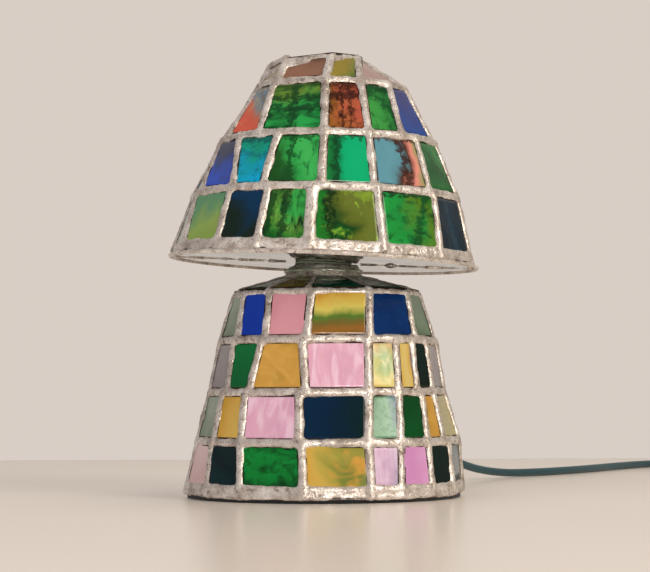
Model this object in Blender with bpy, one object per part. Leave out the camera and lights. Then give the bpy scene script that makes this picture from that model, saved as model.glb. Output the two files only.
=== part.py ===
"""Stained-glass table lamp: a hollow leaded-glass base, a lift-off shade, lamp holder, bulb and lead.

Metres, +Z up, the front faces -Y. The origin is the centre of the foot pad's underside.
"""

import math
import random
from collections import namedtuple

import bmesh
import bpy
from mathutils import Matrix, Vector

# A level is a ring of pane corners. Shift is sideways, and tilt is in degrees with the right side down.
Level = namedtuple("Level", "height radius shift tilt")
# A row of panes stands between two levels. Each seam has an angle at its low and at its high end, in
# degrees from the front towards +X, and `hidden` more seams are spread evenly round the back.
Row = namedtuple("Row", "name low high seams hidden")

# Leaded glass
GLASS = 0.0024  # pane thickness
SETBACK = GLASS * 2 / 3  # from a level to the edge of its panes
SOLDER = 0.0012  # height of a seam over the glass
SEAM = 0.0050  # width of a seam
LIFT = 0.00045  # clearance between the seams and the glass under them
GAP = 0.0003  # clearance between pieces that touch

# Base, from the rim up
FOOT_RIM = Level(0.0029, 0.0842, 0.0, 0.0)
BASE_LOW = Level(0.0340, 0.0790, 0.0026, 0.0)
BASE_MIDDLE = Level(0.0629, 0.0710, 0.0020, 0.0)
BASE_HIGH = Level(0.0936, 0.0653, 0.0026, 0.0)
SHOULDER = Level(0.1238, 0.0558, 0.0022, 0.0)
CONE_TOP = Level(0.1334, 0.0200, 0.0003, 0.0)
BASE_ROWS = (
    Row("base_glass_row_1", FOOT_RIM, BASE_LOW,
        ((-55, -60), (-35, -40), (-8, -11), (19, 17), (32, 32), (49, 47), (65, 64)), 8),
    Row("base_glass_row_2", BASE_LOW, BASE_MIDDLE,
        ((-58, -60), (-40, -42), (-12, -13), (17, 20), (32, 36), (47, 51), (59, 62)), 8),
    Row("base_glass_row_3", BASE_MIDDLE, BASE_HIGH,
        ((-56, -58), (-40, -36), (-10, -13), (20, 21), (36, 37), (48, 49), (62, 62)), 8),
    Row("base_glass_row_4", BASE_HIGH, SHOULDER,
        ((-55, -61), (-34, -37), (-11, -9), (22, 26), (52, 58)), 8),
    Row("base_glass_shoulder", SHOULDER, CONE_TOP,
        ((-38, -38), (-11, -11), (26, 26), (60, 60)), 7),
)
BASE_BAND = 0.0060  # height of the solder band along the foot
PAD_THICKNESS = 0.0022
PAD_INSET = 0.0020  # from the rim's corners to the pad's edge
PLATE_THICKNESS = 0.0015
PLATE_CLEARANCE = 0.0008  # between the bottom plate and the glass round it
WIDEST_PANE = 28  # degrees of the rim
LUG_MARGIN = 0.0040  # from the lugs to the glass
LUG_LENGTH, LUG_WIDTH, LUG_THICKNESS = 0.0110, 0.0080, 0.0016
LUG_ANGLES = (30, 150, 270)
SCREW_RADIUS, SCREW_LENGTH = 0.0015, 0.0050
SCREW_HEAD_RADIUS, SCREW_HEAD_HEIGHT = 0.0029, 0.0014

# Shade, in its own leaning frame: height 0 is the underside of its glass floor
SEAT = Vector((0.0003, 0.0, 0.1409))
LEAN = 2.6
SHADE_RIM = Level(0.0019, 0.0922, 0.0, 0.0)
SHADE_LOW = Level(0.0394, 0.0815, 0.0, -1.3)
SHADE_MIDDLE = Level(0.0723, 0.0663, -0.0003, -1.6)
SHADE_HIGH = Level(0.1058, 0.0458, 0.0006, -1.2)
SHADE_TOP = Level(0.1231, 0.0276, -0.0110, -8.1)
SHADE_ROWS = (
    Row("shade_glass_row_1", SHADE_RIM, SHADE_LOW,
        ((-65, -71), (-43, -43), (-25, -24), (-5, -5), (22, 21), (48, 50)), 9),
    Row("shade_glass_row_2", SHADE_LOW, SHADE_MIDDLE,
        ((-42, -52), (-27, -26), (-2, -2), (20, 21), (48, 51)), 10),
    Row("shade_glass_row_3", SHADE_MIDDLE, SHADE_HIGH,
        ((-38, -49), (-2, -5), (21, 22), (41, 47)), 9),
    Row("shade_glass_row_4", SHADE_HIGH, SHADE_TOP,
        ((-45, -37), (-5, 24), (21, 79), (72, 106), (118, 138), (165, 172), (212, 206), (264, 266)), 0),
)
SHADE_BAND = 0.0050
SHADE_LIP = 0.0048  # how far the top seam reaches over the cap pane
CAP_INSET = 0.0028
RIM_WIRE_RADIUS = 0.0012
RIM_WIRE_PROUD = 0.0008  # from the rim's corners to the wire's centre
SHADE_HOLE = 0.0152
HOLE_RING_WIDTH, HOLE_RING_HEIGHT = 0.0042, 0.0010

# Neck, along the leaning axis under the shade
WASHER_THICKNESS, WASHER_WIDTH = 0.0010, 0.0026
NECK_TOP_RADIUS = 0.0172
NECK_SKIRT_RADIUS = 0.0243
PIPE_RADIUS, PIPE_BORE = 0.0050, 0.0039
PIPE_BELOW, PIPE_ABOVE = 0.0290, 0.0040  # from the seat, down and up
PIPE_HOLE_PLAY = 0.0006  # between the upright neck cap and the leaning pipe
INNER_WASHER_RADIUS, INNER_WASHER_THICKNESS = 0.0230, 0.0015
NUT_RADIUS, NUT_HEIGHT = 0.0080, 0.0035

# Lamp holder and bulb
HUB_RADIUS = 0.0090
HOLDER_RADIUS, HOLDER_WALL = 0.0136, 0.0016
HOLDER_CAP_HEIGHT = 0.0130
SLEEVE_HEIGHT = 0.0330
CORE_HEIGHT = 0.0070
SHELL_BORE, SHELL_WALL, SHELL_HEIGHT = 0.0073, 0.0006, 0.0180
CONTACT_RADIUS, CONTACT_HEIGHT = 0.0026, 0.0020
BULB_CAP_HEIGHT = 0.0200
THREAD_PLAY = 0.0004
PIP_HEIGHT = 0.0016
BULB_RADIUS, BULB_LENGTH, BULB_WALL = 0.0110, 0.0560, 0.0008
STEM_RADIUS, STEM_HEIGHT = 0.0028, 0.0200
FILAMENT_RADIUS, FILAMENT_SPAN, FILAMENT_HEIGHT = 0.0004, 0.0120, 0.0300

# Lead: where it leaves the base, and what is on it
CORD_RADIUS = 0.00275
CORD_PLAY = 0.0004
EXIT_ANGLE, EXIT_HEIGHT = 158, 0.0190
BUSHING_RADIUS, BUSHING_LENGTH = CORD_RADIUS + 0.00165, 0.0090
FLANGE_RADIUS, FLANGE_THICKNESS = BUSHING_RADIUS + 0.0018, 0.0014
RELIEF_LENGTH, RELIEF_RADIUS, RELIEF_TIP = 0.0280, CORD_RADIUS + 0.00205, CORD_RADIUS + 0.00125
COIL_CENTRE = Vector((0.3200, 0.3960, 0.0))
COIL_MAJOR, COIL_MINOR = 0.0305, 3.2 * CORD_RADIUS  # seven turns, six of them round the seventh
SWITCH_CENTRE = Vector((0.2840, 0.2900, 0.0))
SWITCH_LENGTH, SWITCH_WIDTH, SWITCH_HEIGHT = 0.0600, 0.0240, 0.0170
SWITCH_WALL, SWITCH_SPLIT = 0.0020, 0.0075  # the lower half ends at the split
SWITCH_EDGE = 0.0015
STRIP_WIDTH, STRIP_LENGTH, STRIP_THICKNESS = 0.0050, 0.0240, 0.0008
ROCKER_LENGTH, ROCKER_WIDTH, ROCKER_PROUD = 0.0160, 0.0110, 0.0030
ROCKER_DEPTH, ROCKER_DIP = 0.0022, 0.0012  # its underside under the pin's axis, and its hollowed face
ROCKER_PLAY = 0.0008
ROCKER_REST = 8  # degrees, one end pressed
ROCKER_PIN, PIN_PLAY, PIN_GRIP = 0.0009, 0.0002, 0.0030
PIN_DEPTH = 0.0021  # the pin's axis, under the switch's top
SWITCH_SCREW_RADIUS, SWITCH_SCREW_SPACING = 0.0018, 0.0440
PLUG_CENTRE = Vector((0.3060, 0.1900, 0.0))
PLUG_LENGTH, PLUG_WIDTH, PLUG_HEIGHT = 0.0360, 0.0260, 0.0137
PLUG_TAPER = 0.55  # the width at the lead's end, over the width at the pins
PLUG_EDGE = 0.0020
PIN_RADIUS, PIN_LENGTH, PIN_SPACING = 0.0020, 0.0190, 0.0180
CORD_ON_FLOOR = CORD_RADIUS + 0.0001

RANDOM = random.Random(7)
ROUND = 24  # sides of a turned piece
EYE = Matrix.Identity(4)


# Materials


def material(name, colour, roughness, metallic=0.0, transmission=0.0):
    """A Principled material, made once for each name."""
    if name in bpy.data.materials:
        return bpy.data.materials[name]
    made = bpy.data.materials.new(name)
    made.use_nodes = True
    shader = made.node_tree.nodes["Principled BSDF"]
    shader.inputs["Base Color"].default_value = (*colour, 1.0)
    shader.inputs["Roughness"].default_value = roughness
    shader.inputs["Metallic"].default_value = metallic
    shader.inputs["Transmission Weight"].default_value = transmission
    return made


def solder():
    return material("solder", (0.55, 0.53, 0.50), 0.38, 1.0)


def brass():
    return material("brass", (0.60, 0.44, 0.20), 0.35, 1.0)


def steel():
    return material("steel", (0.60, 0.60, 0.60), 0.35, 1.0)


def clear_glass():
    return material("clear_glass", (0.90, 0.92, 0.88), 0.05, 0.0, 0.9)


def dark_plastic():
    return material("dark_plastic", (0.02, 0.02, 0.02), 0.45)


def braid():
    return material("cord_braid", (0.01, 0.09, 0.10), 0.85)


def pane_glass(row):
    tints = {
        "base_glass_row_1": (0.62, 0.35, 0.45), "base_glass_row_2": (0.08, 0.16, 0.20),
        "base_glass_row_3": (0.60, 0.42, 0.16), "base_glass_row_4": (0.05, 0.14, 0.40),
        "base_glass_shoulder": (0.02, 0.14, 0.08), "shade_glass_row_1": (0.10, 0.28, 0.06),
        "shade_glass_row_2": (0.02, 0.35, 0.22), "shade_glass_row_3": (0.03, 0.36, 0.10),
        "shade_glass_row_4": (0.35, 0.16, 0.10),
    }
    return material(row.name, tints[row.name], 0.10, 0.0, 0.5)


# Shapes


def finish(mesh_builder, name, mat, place=EYE, parent=None):
    """Turns a bmesh into an object, shaded smooth with sharp edges kept."""
    mesh = bpy.data.meshes.new(name)
    mesh_builder.to_mesh(mesh)
    mesh_builder.free()
    mesh.shade_smooth()
    mesh.set_sharp_from_angle(angle=math.radians(32))
    mesh.materials.append(mat)
    made = bpy.data.objects.new(name, mesh)
    bpy.context.collection.objects.link(made)
    made.parent = parent
    made.matrix_local = place
    return made


def turned(name, profile, mat, place=EYE, parent=None, sides=ROUND, ring=False):
    """A solid turned about Z from (radius, height) points. A ring's profile is closed and off the axis."""
    build = bmesh.new()
    points = [build.verts.new((radius, 0.0, height)) for radius, height in profile]
    edges = [build.edges.new(pair) for pair in zip(points, points[1:])]
    if ring:
        edges.append(build.edges.new((points[-1], points[0])))
    bmesh.ops.spin(build, geom=points + edges, cent=(0, 0, 0), axis=(0, 0, 1),
                   angle=math.tau, steps=sides, use_merge=True)
    bmesh.ops.remove_doubles(build, verts=build.verts, dist=1e-6)
    bmesh.ops.recalc_face_normals(build, faces=build.faces)
    return finish(build, name, mat, place, parent)


def washer_profile(inner, outer, low, high):
    return [(outer, low), (outer, high), (inner, high), (inner, low)]


def disc_profile(radius, low, high):
    return [(0.0, low), (radius, low), (radius, high), (0.0, high)]


def prism(name, outline, low, high, mat, place=EYE, parent=None):
    """An outline in the XY plane, standing from low to high."""
    build = bmesh.new()
    face = build.faces.new([build.verts.new((x, y, low)) for x, y in outline])
    pushed = bmesh.ops.extrude_face_region(build, geom=[face])
    moved = [part for part in pushed["geom"] if isinstance(part, bmesh.types.BMVert)]
    bmesh.ops.translate(build, verts=moved, vec=(0, 0, high - low))
    bmesh.ops.recalc_face_normals(build, faces=build.faces)
    return finish(build, name, mat, place, parent)


def rounded_box(name, size, mat, place=EYE, parent=None, bevel=0.0):
    """A box centred on the origin, with its edges bevelled."""
    build = bmesh.new()
    bmesh.ops.create_cube(build, size=1.0)
    bmesh.ops.scale(build, vec=size, verts=build.verts)
    if bevel:
        bmesh.ops.bevel(build, geom=build.edges[:], offset=bevel, segments=2, profile=0.5, affect="EDGES")
    return finish(build, name, mat, place, parent)


def cutter(made):
    """Marks an object as a helper that only cuts others."""
    made.hide_render = True
    made.display_type = "WIRE"
    return made


def cut(made, tool):
    boolean = made.modifiers.new("cut", "BOOLEAN")
    boolean.operation = "DIFFERENCE"
    boolean.object = tool


def smooth_route(points, step):
    """Points about a step apart on a smooth curve through the route's own points."""
    route = [Vector(point) for point in points]
    ends = [2 * route[0] - route[1], *route, 2 * route[-1] - route[-2]]
    dense = []
    for before, start, end, after in zip(ends, ends[1:], ends[2:], ends[3:]):
        for part in range(24):
            t = part / 24
            dense.append(
                0.5 * (2 * start + (end - before) * t + (2 * before - 5 * start + 4 * end - after) * t * t
                       + (3 * start - before - 3 * end + after) * t ** 3)
            )
    dense.append(route[-1])
    length = sum((b - a).length for a, b in zip(dense, dense[1:]))
    count = max(2, round(length / step))
    spaced, walked, target = [dense[0]], 0.0, length / count
    for a, b in zip(dense, dense[1:]):
        piece = (b - a).length
        while walked + piece >= target and len(spaced) < count:
            spaced.append(a.lerp(b, (target - walked) / piece))
            target += length / count
        walked += piece
    spaced.append(dense[-1])
    return spaced


def tube(name, points, radius, mat, step=0.0130, resolution=2):
    """A round bar along a smooth route, as a curve with a bevel and filled caps."""
    data = bpy.data.curves.new(name, "CURVE")
    data.dimensions = "3D"
    data.bevel_depth = radius
    data.bevel_resolution = resolution
    data.use_fill_caps = True
    spline = data.splines.new("POLY")
    route = smooth_route(points, step)
    spline.points.add(len(route) - 1)
    for made, point in zip(spline.points, route):
        made.co = (*point, 1.0)
    data.materials.append(mat)
    made = bpy.data.objects.new(name, data)
    bpy.context.collection.objects.link(made)
    return made


# Leaded glass


def corner(level, angle):
    """A pane corner on a level."""
    around, tilt = math.radians(angle), math.radians(level.tilt)
    across = level.radius * math.sin(around)
    return Vector((
        level.shift + across * math.cos(tilt),
        -level.radius * math.cos(around),
        level.height - across * math.sin(tilt),
    ))


def seams_of(row):
    """The row's seams all the way round: those in front, then the ones spread round the back."""
    seams = list(row.seams)
    gaps = row.hidden + 1
    for count in range(1, gaps):
        wander = RANDOM.uniform(-1.5, 1.5)
        ends = []
        for first, last in zip(row.seams[0], row.seams[-1]):
            ends.append(last + (360 + first - last) * count / gaps + wander)
        seams.append(tuple(ends))
    return seams


def glass_row(row, seams, parent):
    """One ring of flat panes, joined where the seams cover them."""
    build = bmesh.new()
    low, high = [], []
    for low_angle, high_angle in seams:
        foot, head = corner(row.low, low_angle), corner(row.high, high_angle)
        along = (head - foot).normalized() * SETBACK
        low.append(build.verts.new(foot + along))
        high.append(build.verts.new(head - along))
    for here in range(len(seams)):
        there = (here + 1) % len(seams)
        build.faces.new((low[here], low[there], high[there], high[here]))
    made = finish(build, row.name, pane_glass(row), parent=parent)
    wall = made.modifiers.new("wall", "SOLIDIFY")
    wall.thickness = GLASS
    wall.offset = -1
    wall.use_even_offset = True
    return made


def level_ring(build, level, angles):
    """Every seam corner on a level, in order round it, as {angle: vertex}."""
    return {angle: build.verts.new(corner(level, angle)) for angle in sorted({a % 360 for a in angles})}


def chain(ring, start, end):
    """The ring's vertices from one angle round to another."""
    start, end = start % 360, end % 360
    angles = list(ring)
    turned_to = angles[angles.index(start):] + angles[:angles.index(start)]
    return [ring[angle] for angle in turned_to[:turned_to.index(end) + 1]]


def window(build, corners, band):
    """The four corners of the opening that the seams leave over one pane."""
    low_left, low_right, high_right, high_left = corners
    width = ((low_right - low_left).length + (high_right - high_left).length) / 2
    height = ((high_left - low_left).length + (high_right - low_right).length) / 2
    side, foot, head = SEAM / 2 / width, band / height, 1 - SEAM / 2 / height
    found = []
    for across, up in ((side, foot), (1 - side, foot), (1 - side, head), (side, head)):
        low = low_left.lerp(low_right, across)
        found.append(build.verts.new(low.lerp(high_left.lerp(high_right, across), up)))
    return found


def seam_lattice(name, rows, seams, band, lip, parent):
    """All the solder seams of a body as one lattice, standing just over the glass."""
    build = bmesh.new()
    rings = []
    for place, level in enumerate([row.low for row in rows] + [rows[-1].high]):
        angles = []
        if place:
            angles += [high for _, high in seams[place - 1]]
        if place < len(rows):
            angles += [low for low, _ in seams[place]]
        rings.append(level_ring(build, level, angles))
    for place, row in enumerate(rows):
        low_ring, high_ring = rings[place], rings[place + 1]
        for here, (low_angle, high_angle) in enumerate(seams[place]):
            low_next, high_next = seams[place][(here + 1) % len(seams[place])]
            low, high = chain(low_ring, low_angle, low_next), chain(high_ring, high_angle, high_next)
            corners = [low[0].co, low[-1].co, high[-1].co, high[0].co]
            foot = band if place == 0 else SEAM / 2
            low_left, low_right, high_right, high_left = window(build, corners, foot)
            build.faces.new(low + [low_right, low_left])
            build.faces.new((low[-1], high[-1], high_right, low_right))
            build.faces.new(high[::-1] + [high_left, high_right])
            build.faces.new((high[0], low[0], low_left, high_left))
    if lip:
        top = list(rings[-1].items())
        inner = rows[-1].high._replace(radius=rows[-1].high.radius - lip)
        inside = [build.verts.new(corner(inner, angle)) for angle, _ in top]
        for here in range(len(top)):
            there = (here + 1) % len(top)
            build.faces.new((top[here][1], top[there][1], inside[there], inside[here]))
    made = finish(build, name, solder(), parent=parent)
    wall = made.modifiers.new("wall", "SOLIDIFY")
    wall.thickness = SOLDER
    wall.offset = 1 + 2 * LIFT / SOLDER
    wall.use_even_offset = True
    return made


def wall_slope(low, high):
    """How far a row of panes leans inwards from the upright."""
    return math.atan2(low.radius - high.radius, high.height - low.height)


def outline_of(level, angles, inset):
    """The corners of a level's polygon, drawn in by an inset."""
    smaller = level._replace(radius=level.radius - inset)
    return [corner(smaller, angle) for angle in sorted(a % 360 for a in angles)]


# Base


def make_base():
    seams = [seams_of(row) for row in BASE_ROWS]
    rings = [glass_row(row, around, None) for row, around in zip(BASE_ROWS, seams)]
    seam_lattice("base_seams", BASE_ROWS, seams, BASE_BAND, 0.0, None)
    turned("foot_pad", disc_profile(FOOT_RIM.radius - PAD_INSET, 0.0, PAD_THICKNESS),
           material("felt", (0.008, 0.020, 0.020), 0.95), sides=64)
    make_bottom_plate([low for low, _ in seams[0]])
    return rings[0], seams[0]


def make_bottom_plate(rim_angles):
    """A steel plate inside the rim, on three screws into lugs that are soldered to the seams."""
    low = PAD_THICKNESS + GAP
    high = low + PLATE_THICKNESS
    slope = wall_slope(FOOT_RIM, BASE_LOW)
    inside = GLASS / math.cos(slope) + (high - FOOT_RIM.height) * math.tan(slope) + PLATE_CLEARANCE
    outline = [(spot.x, spot.y) for spot in outline_of(FOOT_RIM, rim_angles, inside)]
    plate = prism("bottom_plate", outline, low, high, steel())
    narrowest = FOOT_RIM.radius * math.cos(math.radians(WIDEST_PANE / 2)) - inside
    reach = narrowest - LUG_MARGIN - LUG_LENGTH / 2
    for count, angle in enumerate(LUG_ANGLES, 1):
        place = Matrix.Rotation(math.radians(angle - 90), 4, "Z") @ Matrix.Translation((reach, 0, 0))
        lug = rounded_box(f"plate_lug_{count}", (LUG_LENGTH, LUG_WIDTH, LUG_THICKNESS), brass(),
                          place @ Matrix.Translation((0, 0, high + GAP + LUG_THICKNESS / 2)))
        bore = cutter(turned(f"screw_bore_{count}", disc_profile(SCREW_RADIUS + GAP, -0.01, 0.02), steel(),
                             place, sides=16))
        sink = cutter(turned(f"screw_sink_{count}", [
            (0.0, low - 0.001), (SCREW_HEAD_RADIUS + GAP + 0.001, low - 0.001),
            (SCREW_HEAD_RADIUS + GAP, low), (SCREW_RADIUS + GAP, low + SCREW_HEAD_HEIGHT + GAP),
            (0.0, low + SCREW_HEAD_HEIGHT + GAP)], steel(), place, sides=16))
        cut(plate, bore)
        cut(plate, sink)
        cut(lug, bore)
        turned(f"plate_screw_{count}", [
            (0.0, low), (SCREW_HEAD_RADIUS, low), (SCREW_RADIUS, low + SCREW_HEAD_HEIGHT),
            (SCREW_RADIUS, low + SCREW_LENGTH), (0.0, low + SCREW_LENGTH)], steel(), place, sides=16)


def make_neck(axis):
    """The cap on the cone, whose top leans with the shade, and the pipe that clamps it."""
    under = CONE_TOP.height + LIFT + SOLDER + 2 * GAP
    top = SEAT.z - WASHER_THICKNESS - 2 * GAP
    slope = (CONE_TOP.height - SHOULDER.height) / (SHOULDER.radius - CONE_TOP.radius)
    skirt = under - (NECK_SKIRT_RADIUS - CONE_TOP.radius) * slope
    hole = PIPE_RADIUS + PIPE_HOLE_PLAY
    profile = [
        (hole, under), (CONE_TOP.radius - 0.001, under), (NECK_SKIRT_RADIUS - 0.0006, skirt + 0.0001),
        (NECK_SKIRT_RADIUS, skirt + 0.0009), (NECK_SKIRT_RADIUS - 0.0012, skirt + 0.0020),
        (NECK_TOP_RADIUS + 0.0018, top - 0.0016), (NECK_TOP_RADIUS, top), (hole, top),
    ]
    cap = turned("neck_cap", profile, solder(), Matrix.Translation((SEAT.x, 0, 0)), ring=True, sides=36)
    for vertex in cap.data.vertices:
        share = max(0.0, (vertex.co.z - under) / (top - under))
        vertex.co.z -= share * vertex.co.x * math.tan(math.radians(LEAN))
    turned("seat_washer", washer_profile(NECK_TOP_RADIUS - WASHER_WIDTH, NECK_TOP_RADIUS,
           -GAP - WASHER_THICKNESS, -GAP), material("felt", (0.008, 0.020, 0.020), 0.95),
           parent=axis, ring=True, sides=36)
    turned("lamp_pipe", washer_profile(PIPE_BORE, PIPE_RADIUS, -PIPE_BELOW, PIPE_ABOVE), brass(),
           parent=axis, ring=True)
    lean = INNER_WASHER_RADIUS * math.sin(math.radians(LEAN))
    upright_glass = GLASS / math.cos(math.atan(slope)) + GAP
    under_glass = CONE_TOP.height - (INNER_WASHER_RADIUS - CONE_TOP.radius) * slope - upright_glass
    washer_top = under_glass - lean - 2 * GAP - SEAT.z
    turned("inner_washer", washer_profile(PIPE_RADIUS + GAP, INNER_WASHER_RADIUS,
           washer_top - INNER_WASHER_THICKNESS, washer_top), steel(), parent=axis, ring=True)
    nut_top = washer_top - INNER_WASHER_THICKNESS - GAP
    nut = prism("pipe_nut", [(NUT_RADIUS * math.cos(i * math.pi / 3), NUT_RADIUS * math.sin(i * math.pi / 3))
                             for i in range(6)], nut_top - NUT_HEIGHT, nut_top, brass(), parent=axis)
    cut(nut, cutter(turned("nut_bore", disc_profile(PIPE_RADIUS + GAP, -0.05, 0.05), brass(), parent=axis)))


# Holder and bulb


def make_holder(axis):
    """A two-part lamp holder screwed on the pipe. Returns the height of its core's upper face."""
    low = -GAP - WASHER_THICKNESS
    split = low + HOLDER_CAP_HEIGHT
    inside = HOLDER_RADIUS - HOLDER_WALL
    turned("holder_cap", [
        (PIPE_RADIUS + GAP, low), (HUB_RADIUS, low), (HUB_RADIUS, low + 0.0040),
        (HOLDER_RADIUS - 0.0010, low + 0.0064), (HOLDER_RADIUS, low + 0.0082), (HOLDER_RADIUS, split),
        (inside, split), (inside, low + 0.0086), (HUB_RADIUS - 0.0010, low + 0.0060),
        (PIPE_RADIUS + GAP, low + 0.0060)], dark_plastic(), parent=axis, ring=True)
    sleeve_low = split + GAP
    sleeve_high = sleeve_low + SLEEVE_HEIGHT
    turned("holder_sleeve", [
        (HOLDER_RADIUS, sleeve_low), (HOLDER_RADIUS, sleeve_high - 0.0010),
        (HOLDER_RADIUS - 0.0005, sleeve_high), (inside, sleeve_high), (inside, sleeve_low)],
        dark_plastic(), parent=axis, ring=True)
    core_top = sleeve_low + CORE_HEIGHT
    turned("holder_core", disc_profile(inside - GAP, sleeve_low, core_top),
           material("ceramic", (0.80, 0.78, 0.72), 0.35), parent=axis)
    turned("holder_shell", washer_profile(SHELL_BORE, SHELL_BORE + SHELL_WALL, core_top + GAP,
           core_top + GAP + SHELL_HEIGHT), brass(), parent=axis, ring=True)
    turned("holder_contact", [
        (0.0, core_top + GAP), (CONTACT_RADIUS, core_top + GAP),
        (CONTACT_RADIUS, core_top + GAP + CONTACT_HEIGHT * 0.6),
        (CONTACT_RADIUS * 0.6, core_top + GAP + CONTACT_HEIGHT), (0.0, core_top + GAP + CONTACT_HEIGHT)],
        brass(), parent=axis, sides=20)
    return core_top + GAP + CONTACT_HEIGHT


def make_bulb(axis, contact_top):
    """A tubular bulb narrow enough for the shade's hole, with a small screw cap."""
    pip_low = contact_top + GAP
    turned("bulb_contact", [
        (0.0, pip_low), (CONTACT_RADIUS * 0.5, pip_low), (CONTACT_RADIUS, pip_low + PIP_HEIGHT * 0.6),
        (CONTACT_RADIUS, pip_low + PIP_HEIGHT), (0.0, pip_low + PIP_HEIGHT)],
        material("tinned_contact", (0.62, 0.62, 0.62), 0.4, 1.0), parent=axis, sides=20)
    cap_low = pip_low + PIP_HEIGHT + GAP
    cap_high = cap_low + BULB_CAP_HEIGHT
    crest = SHELL_BORE - THREAD_PLAY
    root = crest - 0.0006
    profile = [(0.0, cap_low), (0.0046, cap_low), (root, cap_low + 0.0022)]
    threads = 4
    pitch = (BULB_CAP_HEIGHT - 0.0062) / threads
    for turn in range(threads):
        start = cap_low + 0.0026 + turn * pitch
        profile += [(root, start), (crest, start + pitch * 0.5)]
    profile += [(root, cap_high - 0.0030), (root, cap_high), (0.0, cap_high)]
    turned("bulb_cap", profile, material("nickel_cap", (0.72, 0.70, 0.66), 0.3, 1.0), parent=axis)
    glass_low = cap_high + GAP
    outer = [(root - 0.0003, glass_low), (root - 0.0003, glass_low + 0.002),
             (BULB_RADIUS - 0.001, glass_low + 0.011), (BULB_RADIUS, glass_low + 0.016)]
    dome = glass_low + BULB_LENGTH - BULB_RADIUS
    outer.append((BULB_RADIUS, dome))
    bends = 4
    for bend in range(1, bends):
        angle = math.radians(90 * bend / bends)
        outer.append((BULB_RADIUS * math.cos(angle), dome + BULB_RADIUS * math.sin(angle)))
    outer.append((0.0, dome + BULB_RADIUS))
    inner = [(max(0.0, radius - BULB_WALL), height) for radius, height in outer[:5]]
    for bend in range(1, bends):
        angle = math.radians(90 * bend / bends)
        within = BULB_RADIUS - BULB_WALL
        inner.append((within * math.cos(angle), dome + within * math.sin(angle)))
    inner.append((0.0, dome + BULB_RADIUS - BULB_WALL))
    envelope(outer, inner, axis)
    turned("bulb_stem", [
        (0.0, glass_low), (STEM_RADIUS + 0.0012, glass_low), (STEM_RADIUS, glass_low + 0.006),
        (STEM_RADIUS * 0.7, glass_low + STEM_HEIGHT), (0.0, glass_low + STEM_HEIGHT)],
        clear_glass(), parent=axis, sides=16)
    make_filament(axis, glass_low + STEM_HEIGHT + GAP)


def envelope(outer, inner, axis):
    """The bulb's glass, open where the screw cap closes it: outer wall up, then inner wall down."""
    build = bmesh.new()
    points = [build.verts.new((radius, 0.0, height)) for radius, height in outer]
    back = [build.verts.new((radius, 0.0, height)) for radius, height in inner]
    edges = [build.edges.new(pair) for pair in zip(points, points[1:])]
    edges += [build.edges.new(pair) for pair in zip(back, back[1:])]
    edges.append(build.edges.new((points[0], back[0])))
    bmesh.ops.spin(build, geom=points + back + edges, cent=(0, 0, 0), axis=(0, 0, 1),
                   angle=math.tau, steps=24, use_merge=True)
    bmesh.ops.remove_doubles(build, verts=build.verts, dist=1e-6)
    bmesh.ops.recalc_face_normals(build, faces=build.faces)
    finish(build, "bulb_glass", clear_glass(), parent=axis)


def make_filament(axis, low):
    """A hoop of wire over the glass stem."""
    half, height = FILAMENT_SPAN / 2, FILAMENT_HEIGHT - STEM_HEIGHT
    points = [(-0.0012, 0, low + FILAMENT_RADIUS), (-half, 0, low + height * 0.7),
              (-half * 0.5, 0, low + height), (0, 0, low + height * 0.8), (half * 0.5, 0, low + height),
              (half, 0, low + height * 0.7), (0.0012, 0, low + FILAMENT_RADIUS)]
    made = tube("bulb_filament", points, FILAMENT_RADIUS, material("tungsten", (0.3, 0.3, 0.3), 0.5, 1.0),
                step=0.003)
    made.parent = axis


# Shade


def make_shade(axis):
    seams = [seams_of(row) for row in SHADE_ROWS]
    for row, around in zip(SHADE_ROWS, seams):
        glass_row(row, around, axis)
    seam_lattice("shade_seams", SHADE_ROWS, seams, SHADE_BAND, SHADE_LIP, axis)
    turned("shade_rim_wire", [
        (SHADE_RIM.radius + RIM_WIRE_PROUD + RIM_WIRE_RADIUS * math.cos(part * math.tau / 6),
         RIM_WIRE_RADIUS * (0.15 + math.sin(part * math.tau / 6))) for part in range(6)],
        solder(), parent=axis, ring=True, sides=60)
    make_cap([high for _, high in seams[-1]], axis)
    make_floor([low for low, _ in seams[0]], axis)


def make_cap(angles, axis):
    """The flat pane that closes the shade's top."""
    build = bmesh.new()
    top = [build.verts.new(spot) for spot in outline_of(SHADE_TOP, angles, CAP_INSET)]
    build.faces.new(top)
    made = finish(build, "shade_glass_cap", material("cap_glass", (0.30, 0.20, 0.16), 0.1, 0.0, 0.5),
                  parent=axis)
    wall = made.modifiers.new("wall", "SOLIDIFY")
    wall.thickness = GLASS
    wall.offset = -1


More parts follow.
